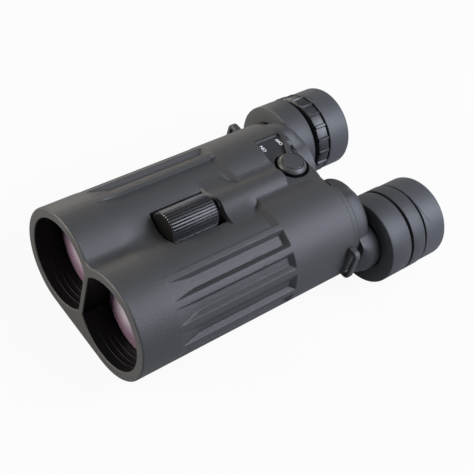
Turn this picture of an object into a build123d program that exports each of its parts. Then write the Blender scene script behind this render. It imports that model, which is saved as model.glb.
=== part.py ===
"""Compact image-stabilised binocular: armoured body, two turret eyepieces, focus wheel and power switch.

Frame: +Z up, the objectives face -Y, +X is the user's left. The origin is under the middle of
the whole instrument, on the surface it rests on. All sizes are in millimetres.
"""
from build123d import *
import os
from math import cos, hypot, radians, sin, sqrt

# ---------------------------------------------------------------- driving sizes: body
tube_radius = 26.2          # outside of each half of the armoured body
axis_spacing = 37.6         # between the two objective axes
body_length = 126.4
armour_wall = 3.6
chassis_wall = 1.8
fit_gap = 0.05              # between pieces that are seated in each other
run_gap = 0.05              # round a shaft that turns
front_dip = tube_radius - 6.2   # height of the front saddle above the objective axes
rear_dip = tube_radius - 2.0    # height of the rear deck above the objective axes
rear_deck_length = 39.5
rear_roof = rear_dip - 7.0      # inside height of the rear block above the objective axes
roof_start = 2.0
rear_edge = 1.2
valley_depth = 1.7
valley_edge = 78.7          # degrees up from the outboard side
bell_end = 19.4
bell_ramp_end = 31.0
valley_rear_ramp = 2.3
grip_depth = 2.35
grip_front = 20.0
grip_floor_front = 31.7
grip_rear_ramp = 2.4
grip_first_edge = 72.8      # degrees, top edge of the first grip panel
grip_pitch = 24.7
grip_width = 18.4
grip_wall_angle = 4.2
grip_count = 4

# ---------------------------------------------------------------- objectives
opening_radius = 21.55
web_thickness = 3.0
lip_depth = 4.5
lens_depth = 14.1
lens_radius = 21.0
lens_edge = 3.2
lens_bulge = 2.6
hood_length = 17.5
bulkhead_thickness = 2.0
bulkhead_bore = 19.5

# ---------------------------------------------------------------- focus
wheel_radius = 8.14
wheel_length = 25.3
wheel_front = 38.4
wheel_height = rear_dip - 2.4   # of its axis above the objective axes
wheel_ribs = 36
wheel_groove = 0.42
wheel_end_gap = 0.8
wheel_rear_gap = 2.7
slot_half_width = 10.0
well_wall = 1.4
well_clearance = 1.4
shaft_radius = 2.0
bush_radius = 4.2
bush_length = 5.0
shaft_tail = 14.0
carriage_thickness = 3.0
focus_travel = 2.0
nut_radius = 3.4
hump_height = rear_dip + 2.3
hump_top_half = 3.0
hump_half = 5.9
hump_slope = 2.1
hump_wing = 16.0
hump_length = 39.9

# ---------------------------------------------------------------- power switch
switch_x = -3.2
switch_from_rear = 10.8
knob_radius = 7.05
knob_top = rear_dip + 2.2
inlay_radius = 5.05
inlay_top = knob_top + 1.2
knob_well = 8.5
knob_well_floor = rear_dip - 2.0
lever_reach = 12.9
lever_width = 2.6
lever_angle = 153.7
lever_lift = 0.4            # over the pocket's floor, and under the knob's top
pocket_floor = rear_dip - 0.1
pocket_end = -22.6
pocket_width = 14.8
pocket_from_rear = 3.1
switch_body_radius = 6.0
switch_body_depth = 8.0
spindle_radius = 1.5

# ---------------------------------------------------------------- turrets and eyepieces
turret_offset = 17.84       # turret axis to eyepiece axis
turret_rest = -9.4          # degrees, eyepieces a little below level
turret_gap = 0.3
neck_radius = 18.5
neck_lobe_radius = 12.75
neck_length = 10.2
neck_fillet = 6.0
hub_radius = 15.5
hub_bore = 13.0
hub_length = 8.0
retainer_radius = 17.6
retainer_thickness = 2.4
rear_plate_thickness = 4.0
prism_half = 7.0
prism_width = 13.0
prism_entry = 1.2           # behind the neck's front face
neck_wall = 1.4
housing_radius = 21.2
housing_length = 13.8
housing_wall = 2.4
ring_length = 9.6
groove = 0.7
barrel_radius = 17.0
barrel_wall = 1.5
ring_bore_gap = 0.08
dioptre_ribs = 19
dioptre_rib_height = 0.7
dioptre_rib_width = 2.2
dioptre_rib_phase = 11.3
eyecup_length = 14.7
eyecup_radius = 20.9
eyecup_rim = 3.0
eyecup_opening = 15.0
sleeve_wall = 1.1
eye_lens_radius = 13.2
eye_lens_edge = 2.4
eye_lens_bulge = 1.2
eye_lens_recess = 5.6       # below the rim of the folded eyecup
eye_lens_lip = 0.8
field_lens_radius = 11.0
field_lens_thickness = 3.2

# ---------------------------------------------------------------- stabiliser, battery and fittings
gimbal_from_rear = 26.4
gimbal_half_width = 33.0
gimbal_half_height = 13.6
gimbal_frame_bar = 3.0
gimbal_frame_depth = 5.0
carrier_half_width = 28.8
carrier_half_height = 9.4
carrier_depth = 17.0
carrier_wall = 1.0
pivot_radius = 1.4
erector_half = 8.0
battery_radius = 7.25
battery_length = 50.5
battery_front = 29.0
battery_sink = tube_radius - 8.9    # below the objective axes
door_thickness = 1.4
door_half_width = 9.4
door_margin = 3.4
door_pin_radius = 0.8
door_knuckle_wall = 0.8
door_clearance = 0.15
door_pin_hold = 2.0
contact_thickness = 0.4
board_half_width = 15.0
board_length = 28.0
board_from_plate = 4.0
board_thickness = 1.6
board_sink = tube_radius - 7.6
bush_socket_radius = 2.55   # tapping size of a quarter-inch tripod screw
bush_socket_depth = 8.0
tripod_bush_radius = 6.0
tripod_from_rear = 22.0
lug_from_rear = 8.4
lug_thickness = 3.4
lug_half_height = 8.9
lug_centre = 2.5
lug_reach = 4.3
lug_wall = 1.9
lug_corner = 3.0
lug_slot_gap = 0.6          # between the armour and the slot
screw_x = 20.0
screw_inset = 12.0
screw_head_radius = 2.6
screw_radius = 1.3
screw_recess = 1.0

# ---------------------------------------------------------------- places worked out from the sizes
eyepiece_length = housing_length + ring_length + eyecup_length
overall_length = body_length + turret_gap + neck_length + eyepiece_length
front = -overall_length / 2
rear = front + body_length
axis_z = tube_radius
axis_x = axis_spacing / 2
armour_bore = tube_radius - armour_wall
chassis_radius = armour_bore - fit_gap
chassis_front = front + lip_depth + hood_length + fit_gap
plate_front = rear - rear_plate_thickness
slot_front = front + wheel_front - wheel_end_gap
slot_rear = front + wheel_front + wheel_length + wheel_rear_gap
wheel_z = axis_z + wheel_height
well_floor = wheel_z - wheel_radius - well_clearance
deck_front = rear - rear_deck_length
hump_front = slot_rear
switch_y = rear - switch_from_rear
gimbal_y = rear - gimbal_from_rear
eye_x = axis_x + turret_offset * cos(radians(turret_rest))
eye_z = axis_z + turret_offset * sin(radians(turret_rest))
neck_front = rear + turret_gap
housing_front = neck_front + neck_length
ring_front = housing_front + housing_length
cup_front = ring_front + ring_length
carriage_y = hump_front + 11.0


# ---------------------------------------------------------------- drawing helpers
def upright(y):
    """Return the plane at this y whose drawing x and y are the instrument's X and Z."""
    return Plane(origin=(0, y, 0), x_dir=(1, 0, 0), z_dir=(0, -1, 0))


def prism(sketch, y0, y1):
    """Extrude an upright drawing from y0 to y1."""
    return extrude(upright(y1) * sketch, amount=y1 - y0)


def disc(x, z, radius):
    """Draw a circle about a lengthwise axis."""
    return Pos(x, z) * Circle(radius)


def rod(x, z, radius, y0, y1):
    """Make a lengthwise cylinder."""
    return prism(disc(x, z, radius), y0, y1)


def pipe(x, z, outer, inner, y0, y1):
    """Make a lengthwise tube."""
    return prism(disc(x, z, outer) - disc(x, z, inner), y0, y1)


def block(x0, x1, y0, y1, z0, z1):
    """Make a box from its six limits."""
    return Pos((x0 + x1) / 2, (y0 + y1) / 2, (z0 + z1) / 2) * Box(x1 - x0, y1 - y0, z1 - z0)


def post(x, y, radius, z0, z1):
    """Make an upright cylinder."""
    return Pos(x, y, (z0 + z1) / 2) * Cylinder(radius, z1 - z0)


def lathe(points, x, z):
    """Turn a closed outline of (radius, y) points about a lengthwise axis."""
    face = make_face(Polyline(*points, close=True))
    return Pos(x, 0, z) * revolve(face, Axis.Y, 360)


def sector(points, low, high, x, z):
    """Turn an outline of (radius, y) points about a lengthwise axis between two angles."""
    face = Rot(0, -high, 0) * make_face(Polyline(*points, close=True))
    return Pos(x, 0, z) * revolve(face, Axis.Y, high - low)


def other_side(shape):
    """Mirror a piece to the user's right."""
    return mirror(shape, about=Plane.YZ)


def polar(radius, angle):
    """Return X and Z of a point round the left objective axis, angles up from outboard."""
    return axis_x + radius * cos(radians(angle)), axis_z + radius * sin(radians(angle))


def outline(radius, dip):
    """Draw the body's section: two tubes, a flat floor and a saddle between their tops."""
    floor = axis_z - radius
    tubes = disc(axis_x, axis_z, radius) + disc(-axis_x, axis_z, radius)
    lower = Pos(0, (floor + axis_z) / 2) * Rectangle(2 * axis_x, axis_z - floor)
    half = axis_x - sqrt(radius ** 2 - dip ** 2) + 0.4
    upper = Pos(0, axis_z + dip / 2) * Rectangle(2 * half, dip)
    return tubes + lower + upper


def d_opening(radius, half_web):
    """Draw the left objective's opening, cut flat beside the web."""
    keep = Pos(half_web + radius, axis_z) * Rectangle(2 * radius, 3 * radius)
    return disc(axis_x, axis_z, radius) & keep


# ---------------------------------------------------------------- body shell
def valley_cutter(radius):
    """Make the cutter of the lowered top between the two rib strips, on the left tube."""
    floor = radius - valley_depth
    high = radius + 0.6
    profile = [
        (high, front + bell_end - 4.0),
        (floor, front + bell_ramp_end),
        (floor, deck_front - valley_rear_ramp),
        (high, deck_front + 0.8),
        (high + 8, deck_front + 0.8),
        (high + 8, front + bell_end - 4.0),
    ]
    return sector(profile, valley_edge, 180, axis_x, axis_z)


def envelope(grow):
    """Make the body's outside, enlarged evenly by grow."""
    radius = tube_radius + grow
    shell = prism(outline(radius, front_dip + grow), front - grow, rear + grow)
    deck_half = axis_x - sqrt(radius ** 2 - (rear_dip + grow) ** 2) + 0.4
    deck_start = deck_front - grow
    shell += block(-deck_half, deck_half, deck_start, rear + grow, axis_z, axis_z + rear_dip + grow)
    cutter = valley_cutter(radius)
    guard = block(0, 60, front, rear, axis_z, axis_z + 60)
    cutter = cutter & guard
    return shell - cutter - other_side(cutter)


def grip_section(top, floor_radius, inset, y):
    """Draw one station of a grip panel's cutter as a closed outline."""
    high = tube_radius + 1.2
    corners = [
        polar(high, top + 1.0),
        polar(floor_radius, top - inset),
        polar(floor_radius, top - grip_width / 2),
        polar(floor_radius, top - grip_width + inset),
        polar(high, top - grip_width - 1.0),
    ]
    return make_face(Polyline(*[Vector(x, y, z) for x, z in corners], close=True))


def grip_cutter(index):
    """Make the cutter of one sunk grip panel, with a ramp at its front and rear."""
    top = grip_first_edge - index * grip_pitch
    floor = tube_radius - grip_depth
    end = deck_front - 0.2
    stations = [
        grip_section(top, tube_radius + 0.3, 0.4, front + grip_front),
        grip_section(top, floor, grip_wall_angle, front + grip_floor_front),
        grip_section(top, floor, grip_wall_angle, end - grip_rear_ramp),
        grip_section(top, tube_radius + 0.3, 0.4, end),
    ]
    parts = [loft([a, b], ruled=True) for a, b in zip(stations, stations[1:])]
    return parts[0] + parts[1] + parts[2]


def pocket_cutter():
    """Make the cutter of the switch's flat pocket and its round well."""
    y1 = rear - pocket_from_rear
    flat = block(pocket_end, switch_x, y1 - pocket_width, y1, axis_z + pocket_floor, axis_z + 40)
    well = post(switch_x, switch_y, knob_well, axis_z + knob_well_floor, axis_z + 40)
    return flat + well


def switch_hole():
    """Make the hole under the knob that holds the switch's own body."""
    low = axis_z + knob_well_floor - switch_body_depth
    return post(switch_x, switch_y, switch_body_radius + fit_gap, low, axis_z + 40)


def wheel_slot():
    """Make the cutter of the slot that the focus wheel turns in."""
    return block(-slot_half_width, slot_half_width, slot_front, slot_rear, well_floor, axis_z + 40)


def nut_slot(half, clear):
    """Make the cutter of the slot that the focus nut's arm slides in."""
    reach = focus_travel + carriage_thickness / 2 + clear
    return block(-half, half, carriage_y - reach, carriage_y + reach, axis_z, axis_z + 60)


def door_opening(clear):
    """Make the battery door's outline as a cutter through the floor."""
    y0 = front + battery_front - door_margin - clear
    y1 = front + battery_front + battery_length + door_margin + clear
    half = door_half_width + clear
    return block(-half, half, y0, y1, -1, axis_z - battery_sink)


def tripod_place():
    """Return the tripod bush's y."""
    return rear - tripod_from_rear


def screw_places():
    """Return the X and Y of the four case screws."""
    y0 = front + lip_depth + hood_length + screw_inset
    return [(x, y) for x in (-screw_x, screw_x) for y in (y0, rear - screw_inset)]


def armour_shell():
    """Make the whole rubber armour: bell, valley, rib strips, grip panels and every opening."""
    body = envelope(0)
    for index in range(grip_count):
        cutter = grip_cutter(index)
        body = body - cutter - other_side(cutter)
    bore = prism(outline(armour_bore, 0.1), front + lip_depth, rear + 1)
    bore = bore + prism(outline(armour_bore, rear_roof + fit_gap), deck_front + roof_start, rear + 1)
    mouth = prism(d_opening(opening_radius, web_thickness / 2), front - 1, front + lip_depth)
    body = body - bore - mouth - other_side(mouth)
    body = body - wheel_slot() - pocket_cutter() - switch_hole() - nut_slot(2.4, 0.6)
    body = body - door_opening(fit_gap) - door_pin_shape(fit_gap)
    body = body - post(0, tripod_place(), tripod_bush_radius + fit_gap, -1, armour_wall + 1)
    for x, y in screw_places():
        body = body - post(x, y, screw_head_radius + fit_gap, -1, armour_wall + 1)
    side = lug_base(fit_gap)
    return body - side - other_side(side)


def battery_space(wall):
    """Make the room round the cell, arched over its top, enlarged by a wall."""
    y0 = front + battery_front - door_margin - wall
    y1 = front + battery_front + battery_length + door_margin + wall
    half = door_half_width + wall
    middle = axis_z - battery_sink
    return block(-half, half, y0, y1, -1, middle) + rod(0, middle, battery_radius + 0.6 + wall, y0, y1)


def armour_pieces():
    """Split the armour where the valley's ramp begins, into the front bell and the main sleeve."""
    shell = armour_shell()
    reach = 2 * (axis_x + tube_radius + lug_reach)
    bell = block(-reach, reach, front - 1, front + bell_end, -5, 4 * tube_radius)
    return shell & bell, shell - bell


def chassis():
    """Make the moulded inner body that carries the optics, the wheel well and the battery bay."""
    inner = chassis_radius - chassis_wall
    end = plate_front - fit_gap
    roof_y = deck_front + roof_start + fit_gap
    body = prism(outline(chassis_radius, 0.1), chassis_front, end)
    body = body + prism(outline(chassis_radius, rear_roof), roof_y, end)
    room = prism(outline(inner, 0.1), chassis_front + bulkhead_thickness, end + 1)
    room = room + prism(outline(inner, rear_roof - chassis_wall), roof_y + chassis_wall, end + 1)
    well = wheel_slot()
    half = slot_half_width + well_wall
    well_box = block(-half, half, slot_front - well_wall, slot_rear + well_wall,
                     well_floor - well_wall, axis_z + 40)
    bay = battery_space(well_wall)
    cell = battery_space(0)
    body = body - (room - well_box - bay) - well - cell
    behind = chassis_front + bulkhead_thickness + 1
    light = rod(axis_x, axis_z, bulkhead_bore, chassis_front - 1, behind)
    light = light - block(-2.0, 2.0, front, rear, 0, 60)
    body = body - light - other_side(light)
    body = body - switch_hole() - nut_slot(2.4, 0.6)
    body = body - post(0, tripod_place(), tripod_bush_radius + fit_gap, -1, axis_z - 10)
    for x, y in screw_places():
        body = body - post(x, y, screw_radius, -1, armour_wall + 10)
    return body


def rear_plate():
    """Make the plate that closes the body and carries both turrets."""
    plate = prism(outline(chassis_radius, rear_roof), plate_front, rear)
    for x in (-axis_x, axis_x):
        plate = plate - rod(x, axis_z, hub_radius + run_gap, plate_front - 1, rear + 1)
    return plate


def hood():
    """Make the left hood liner, whose step seats the objective."""
    y0 = front + lip_depth + fit_gap
    y1 = y0 + hood_length - fit_gap
    shell = prism(d_opening(chassis_radius, fit_gap), y0, y1)
    bore = prism(d_opening(opening_radius, web_thickness / 2), y0 - 1, y1 + 1)
    liner = shell - bore
    for index in range(3):
        place = y0 + 1.4 + index * 2.6
        rib = prism(d_opening(opening_radius, 1.0), place, place + 0.5)
        rib = rib - prism(d_opening(opening_radius - 0.5, web_thickness / 2), place - 1, place + 1)
        liner = liner + rib
    return liner


def objective():
    """Make the left objective lens, domed in front and cut flat beside the web."""
    y0 = front + lens_depth
    dome = (lens_radius ** 2 + lens_bulge ** 2) / (2 * lens_bulge)
    ball = Pos(axis_x, y0 - lens_bulge + dome, axis_z) * Sphere(dome)
    lens = prism(d_opening(lens_radius, web_thickness / 2 + 0.6), y0 - lens_bulge - 1, y0 + lens_edge)
    return lens & ball


def objective_cell():
    """Make the left objective's mounting ring."""
    y0 = front + lens_depth
    half_web = web_thickness / 2
    seat_end = y0 + lens_edge + fit_gap
    outer = prism(d_opening(opening_radius - fit_gap, half_web + fit_gap), y0, seat_end + 3)
    seat = prism(d_opening(lens_radius + fit_gap, half_web + 0.55), y0 - 1, seat_end)
    bore = prism(d_opening(lens_radius - 1.6, half_web + 2.0), y0, seat_end + 4)
    return outer - seat - bore


def strap_loop(thickness):
    """Draw the left strap loop's outline in the upright plane."""
    x1 = axis_x + tube_radius + lug_reach
    x0 = axis_x + armour_bore
    loop = Pos((x0 + x1) / 2, axis_z + lug_centre) * RectangleRounded(x1 - x0, 2 * thickness, lug_corner)
    return loop


def lug_base(clear):
    """Make the space that the left strap loop takes in the armour."""
    y0 = rear - lug_from_rear - lug_thickness / 2 - clear
    y1 = rear - lug_from_rear + lug_thickness / 2 + clear
    space = prism(strap_loop(lug_half_height + clear), y0, y1)
    return space - rod(axis_x, axis_z, armour_bore, y0 - 1, y1 + 1)


def strap_lug():
    """Make the left strap loop with its slot."""
    y0 = rear - lug_from_rear - lug_thickness / 2
    y1 = rear - lug_from_rear + lug_thickness / 2
    lug = prism(strap_loop(lug_half_height), y0, y1)
    x1 = axis_x + tube_radius + lug_reach - lug_wall
    x0 = axis_x + tube_radius + lug_slot_gap
    height = 2 * (lug_half_height - lug_wall) - 1
    slot = Pos((x0 + x1) / 2, axis_z + lug_centre) * RectangleRounded(x1 - x0, height, 0.42 * (x1 - x0))
    lug = lug - prism(slot, y0 - 1, y1 + 1)
    return lug - rod(axis_x, axis_z, armour_bore + fit_gap, y0 - 1, y1 + 1)


def hump_shape():
    """Make the bridge hump before it is seated on the armour."""
    top = axis_z + hump_height
    low = axis_z + 10
    deck = axis_z + rear_dip
    right_edge = [(-hump_half, low), (-hump_half, deck), (-hump_top_half, top)]
    left_edge = [(-x, z) for x, z in reversed(right_edge)]
    ridge = Polyline(*right_edge, *left_edge, close=True)
    body = prism(make_face(ridge), hump_front, hump_front + hump_length)
    right_edge = [(-hump_wing, low), (-hump_wing, deck), (-hump_half, deck + 0.9)]
    left_edge = [(-x, z) for x, z in reversed(right_edge)]
    wing = Polyline(*right_edge, *left_edge, close=True)
    body = body + prism(make_face(wing), hump_front, deck_front + 0.8)
    before = hump_front - 1
    slope = Polyline((before, deck - 2), (hump_front, deck - 2), (hump_front + hump_slope, top + 0.2),
                     (before, top + 0.2), close=True)
    wedge = extrude(Plane.YZ * make_face(slope), amount=30, both=True)
    return body - wedge


def hump():
    """Make the bridge hump that carries the focus shaft."""
    body = hump_shape() - envelope(fit_gap)
    body = body - rod(0, wheel_z, bush_radius + fit_gap, hump_front - 1, hump_front + bush_length)
    tail = hump_front + bush_length + shaft_tail + 1
    body = body - rod(0, wheel_z, shaft_radius + 0.4, hump_front, tail)
    reach = focus_travel + carriage_thickness / 2 + 0.6
    body = body - rod(0, wheel_z, nut_radius + 0.4, carriage_y - reach, carriage_y + reach)
    return body - block(-2.4, 2.4, carriage_y - reach, carriage_y + reach, 0, wheel_z)


# ---------------------------------------------------------------- focus parts
def focus_bush():
    """Make the plain bearing of the focus shaft."""
    return pipe(0, wheel_z, bush_radius, shaft_radius + run_gap, hump_front + 0.4, hump_front + bush_length)


def focus_wheel():
    """Make the ribbed focus wheel."""
    y0 = front + wheel_front
    section = Circle(wheel_radius)
    notch = Circle(wheel_groove)
    for place in PolarLocations(wheel_radius, wheel_ribs):
        section = section - place * notch
    wheel = prism(Pos(0, wheel_z) * section, y0, y0 + wheel_length)
    return wheel - rod(0, wheel_z, shaft_radius + fit_gap / 2, y0 + 4, y0 + wheel_length + 1)


def focus_shaft():
    """Make the wheel's shaft, whose tail drives the focus nut."""
    y0 = front + wheel_front + 4
    return rod(0, wheel_z, shaft_radius, y0, hump_front + bush_length + shaft_tail)


def focus_carriage():
    """Make the sliding carriage: nut, arm and the two focusing-lens rings."""
    y0 = carriage_y - carriage_thickness / 2
    y1 = carriage_y + carriage_thickness / 2
    nut = pipe(0, wheel_z, nut_radius, shaft_radius + run_gap, y0, y1)
    arm = block(-1.8, 1.8, y0, y1, axis_z - 2.5, wheel_z - shaft_radius - 0.6)
    beam = block(-axis_x, axis_x, y0, y1, axis_z - 2.5, axis_z + 2.5)
    frame = nut + arm + beam
    for x in (-axis_x, axis_x):
        frame = frame + rod(x, axis_z, 16.0, y0, y1)
    for x in (-axis_x, axis_x):
        frame = frame - rod(x, axis_z, 13.0, y0 - 1, y1 + 1)
    return frame


def focus_lens():
    """Make the left focusing lens."""
    return rod(axis_x, axis_z, 13.0 - fit_gap, carriage_y - 1.2, carriage_y + 1.2)


# ---------------------------------------------------------------- switch
def switch_knob():
    """Make the switch's round knob with its pointer lever and spindle."""
    low = axis_z + knob_well_floor + 0.4
    high = axis_z + knob_top
    knob = post(switch_x, switch_y, knob_radius, low, high)
    knob = chamfer(knob.edges().group_by(Axis.Z)[-1], 0.8)
    bar_low = axis_z + pocket_floor + lever_lift
    bar_high = high - lever_lift
    bar = Pos(lever_reach / 2, 0, 0) * Box(lever_reach, lever_width, bar_high - bar_low)
    bar = Pos(switch_x, switch_y, (bar_high + bar_low) / 2) * Rot(0, 0, lever_angle) * bar
    spindle = post(switch_x, switch_y, spindle_radius, low - 5, low)
    knob = knob + bar + spindle
    return knob - post(switch_x, switch_y, inlay_radius + fit_gap, high - 1.0, high + 2)


def switch_inlay():
    """Make the raised disc let into the knob."""
    low = axis_z + knob_top - 1.0 + fit_gap
    disc_piece = post(switch_x, switch_y, inlay_radius, low, axis_z + inlay_top)
    return chamfer(disc_piece.edges().group_by(Axis.Z)[-1], 0.4)


def switch_body():
    """Make the rotary switch under the knob."""
    high = axis_z + knob_well_floor - 0.1
    low = high - switch_body_depth + 0.2
    drum = post(switch_x, switch_y, switch_body_radius, low, high)
    return drum - post(switch_x, switch_y, spindle_radius + run_gap, low + 1, high + 1)


# ---------------------------------------------------------------- turret and eyepiece, left side
def tilted(shape):
    """Turn a piece drawn with the offset along +X into the turret's rest angle."""
    return Pos(axis_x, 0, axis_z) * Rot(0, -turret_rest, 0) * shape


def neck():
    """Make the left turret: bearing hub, disc and the lobe that reaches the eyepiece."""
    section = Circle(neck_radius) + Pos(turret_offset, 0) * Circle(neck_lobe_radius)
    waist = section.vertices().filter_by(lambda v: abs(hypot(v.X, v.Y) - neck_radius) < 0.01)
    section = fillet(waist, neck_fillet)
    body = prism(section, neck_front, housing_front)
    hub_start = neck_front - turret_gap - hub_length
    body = body + prism(Circle(hub_radius), hub_start, neck_front)
    body = body - prism(Circle(hub_bore), hub_start - 1, neck_front + neck_wall + 0.6)
    length = turret_offset + 2 * prism_half + 1.0
    room = Pos(turret_offset / 2, 0) * Rectangle(length, prism_width + 0.6)
    body = body - prism(room, neck_front + neck_wall, housing_front - neck_wall)
    return tilted(body) - prism_passage()


def prism_passage():
    """Make the passage for the rhomboid prism from the turret into the housing."""
    low = neck_length - neck_wall - prism_entry - prism_half - 0.4
    high = turret_offset + prism_half + 0.5
    slot = Pos((low + high) / 2, 0) * Rectangle(high - low, prism_width + 0.6)
    return tilted(prism(slot, housing_front - neck_wall - 0.1, housing_front + housing_wall + 0.1))


def turret_retainer():
    """Make the ring that keeps the left turret on the rear plate."""
    y1 = plate_front - turret_gap
    return pipe(axis_x, axis_z, retainer_radius, hub_radius + fit_gap / 2, y1 - retainer_thickness, y1)


def rhomboid():
    """Make the left rhomboid prism that shifts the light to the eyepiece axis."""
    y0 = neck_front + prism_entry
    y1 = y0 + 2 * prism_half
    near = [(-prism_half, y0), (turret_offset - prism_half, y0)]
    far = [(turret_offset + prism_half, y1), (prism_half, y1)]
    side = Polyline(*near, *far, close=True)
    return tilted(extrude(make_face(side), amount=prism_width / 2, both=True))


def housing():
    """Make the left eyepiece housing."""
    room = housing_front + housing_wall
    end = ring_front - groove
    bore = barrel_radius + fit_gap
    points = [
        (hub_bore, housing_front), (housing_radius - 0.8, housing_front),
        (housing_radius, housing_front + 0.8), (housing_radius, end - 0.3),
        (housing_radius - 0.3, end), (bore, end), (bore, room), (hub_bore, room),
    ]
    return lathe(points, eye_x, eye_z) - prism_passage()


def barrel():
    """Make the left eyepiece barrel that the ring and the eyecup ride on."""
    y0 = housing_front + housing_wall + fit_gap
    y1 = cup_front + eyecup_length - eye_lens_recess
    inner = barrel_radius - barrel_wall
    seat = eye_lens_radius + fit_gap
    lip = y1 - eye_lens_lip
    seat_end = lip - eye_lens_edge - eye_lens_bulge
    points = [
        (inner, y0), (barrel_radius, y0), (barrel_radius, y1), (eye_lens_radius - 1.0, y1),
        (eye_lens_radius - 1.0, lip), (seat, lip), (seat, seat_end), (inner, seat_end - 2.1),
    ]
    return lathe(points, eye_x, eye_z)


def eye_lens():
    """Make the left eye lens."""
    y1 = cup_front + eyecup_length - eye_lens_recess - eye_lens_lip - fit_gap
    return rod(eye_x, eye_z, eye_lens_radius, y1 - eye_lens_edge, y1)


def field_lens():
    """Make the left field lens and its cell."""
    y0 = neck_front + prism_entry + 2 * prism_half + 0.8
    return rod(eye_x, eye_z, barrel_radius - barrel_wall - fit_gap, y0, y0 + field_lens_thickness)


def plain_ring():
    """Make the left eyepiece's fixed ring."""
    bore = barrel_radius + fit_gap
    end = cup_front - groove
    points = [
        (bore, ring_front), (housing_radius - 0.3, ring_front), (housing_radius, ring_front + 0.3),
        (housing_radius, end - 0.3), (housing_radius - 0.3, end), (bore, end),
    ]
    return lathe(points, eye_x, eye_z)


def dioptre_ring():
    """Make the right eyepiece's dioptre ring with its raised ribs."""
    bore = barrel_radius + ring_bore_gap
    points = [(bore, ring_front), (housing_radius, ring_front), (housing_radius, cup_front - groove),
              (bore, cup_front - groove)]
    ring = lathe(points, -eye_x, eye_z)
    bar = block(housing_radius - 0.5, housing_radius + dioptre_rib_height, ring_front + 0.5,
                cup_front - groove - 0.6, -dioptre_rib_width / 2, dioptre_rib_width / 2)
    for index in range(dioptre_ribs):
        angle = dioptre_rib_phase + index * 360 / dioptre_ribs
        ring = ring + Pos(-eye_x, 0, eye_z) * Rot(0, -angle, 0) * bar
    return ring


def eyecup_sleeve():
    """Make the turning sleeve inside the left eyecup."""
    inner = barrel_radius + ring_bore_gap
    y1 = cup_front + eyecup_length - eye_lens_recess
    return pipe(eye_x, eye_z, inner + sleeve_wall, inner, cup_front, y1)


def eyecup():
    """Make the left rubber eyecup with its rounded rim."""
    inner = barrel_radius + ring_bore_gap + sleeve_wall + 0.06
    y1 = cup_front + eyecup_length
    points = [
        (inner, cup_front), (eyecup_radius - 0.3, cup_front), (eyecup_radius, cup_front + 0.3),
        (eyecup_radius, y1 - 1.6), (eyecup_radius - 0.5, y1 - 0.5), (eyecup_radius - 1.6, y1),
        (eyecup_opening + 1.2, y1), (eyecup_opening, y1 - 1.2), (eyecup_opening, y1 - eyecup_rim),
        (inner, y1 - eyecup_rim - 2.0),
    ]
    return lathe(points, eye_x, eye_z)


# ---------------------------------------------------------------- stabiliser
def gimbal_mounts():
    """Make the two bearing blocks of the gimbal's cross pivots."""
    x0 = gimbal_half_width + 1.0
    x1 = axis_x + chassis_radius
    one = block(x0, x1, gimbal_y - 3, gimbal_y + 3, axis_z - 3.5, axis_z + 3.5)
    one = one & rod(axis_x, axis_z, chassis_radius - chassis_wall - fit_gap, gimbal_y - 4, gimbal_y + 4)
    one = one - Pos((x0 + x1) / 2, gimbal_y, axis_z) * Rot(0, 90, 0) * Cylinder(pivot_radius + run_gap, 20)
    return Compound(children=[one, other_side(one)])


def gimbal_frame():
    """Make the gimbal's outer frame, which nods on its cross pivots."""
    half = gimbal_frame_depth / 2
    outer = block(-gimbal_half_width, gimbal_half_width, gimbal_y - half, gimbal_y + half,
                  axis_z - gimbal_half_height, axis_z + gimbal_half_height)
    inner_x = gimbal_half_width - gimbal_frame_bar
    inner_z = gimbal_half_height - gimbal_frame_bar
    frame = outer - block(-inner_x, inner_x, gimbal_y - 9, gimbal_y + 9, axis_z - inner_z, axis_z + inner_z)
    for side in (-1, 1):
        pin = Rot(0, 90, 0) * Cylinder(pivot_radius, 4.2)
        frame = frame + Pos(side * (gimbal_half_width + 2.0), gimbal_y, axis_z) * pin
    return frame - post(0, gimbal_y, pivot_radius + run_gap, 0, 80)


def gimbal_carrier():
    """Make the inner carrier, which turns on upright pivots and holds both erecting prisms."""
    half = carrier_depth / 2
    body = block(-carrier_half_width, carrier_half_width, gimbal_y - half, gimbal_y + half,
                 axis_z - carrier_half_height, axis_z + carrier_half_height)
    for side in (-1, 1):
        cell = block(-erector_half, erector_half, gimbal_y - half - 1, gimbal_y + half + 1,
                     axis_z - erector_half, axis_z + erector_half)
        body = body - Pos(side * axis_x, 0, 0) * cell
    inner_z = gimbal_half_height - gimbal_frame_bar
    for side in (-1, 1):
        z0 = axis_z + side * (carrier_half_height - 0.2)
        z1 = axis_z + side * (inner_z + 2.2)
        body = body + post(0, gimbal_y, pivot_radius, min(z0, z1), max(z0, z1))
    return body


def erecting_prism():
    """Make the left roof prism, set in the carrier."""
    half = carrier_depth / 2 - 1
    size = erector_half - fit_gap
    x0, x1 = axis_x - size, axis_x + size
    block_prism = block(x0, x1, gimbal_y - half, gimbal_y + half, axis_z - size, axis_z + size)
    roof = block_prism.edges().filter_by(Axis.Y).group_by(Axis.Z)[-1]
    return chamfer(roof, 4.0)


# ---------------------------------------------------------------- power and fittings
def battery():
    """Make the single round cell, with its positive cap."""
    y0 = front + battery_front
    z = axis_z - battery_sink
    return rod(0, z, battery_radius, y0 + 1.2, y0 + battery_length) + rod(0, z, 2.7, y0, y0 + 1.3)


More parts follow.
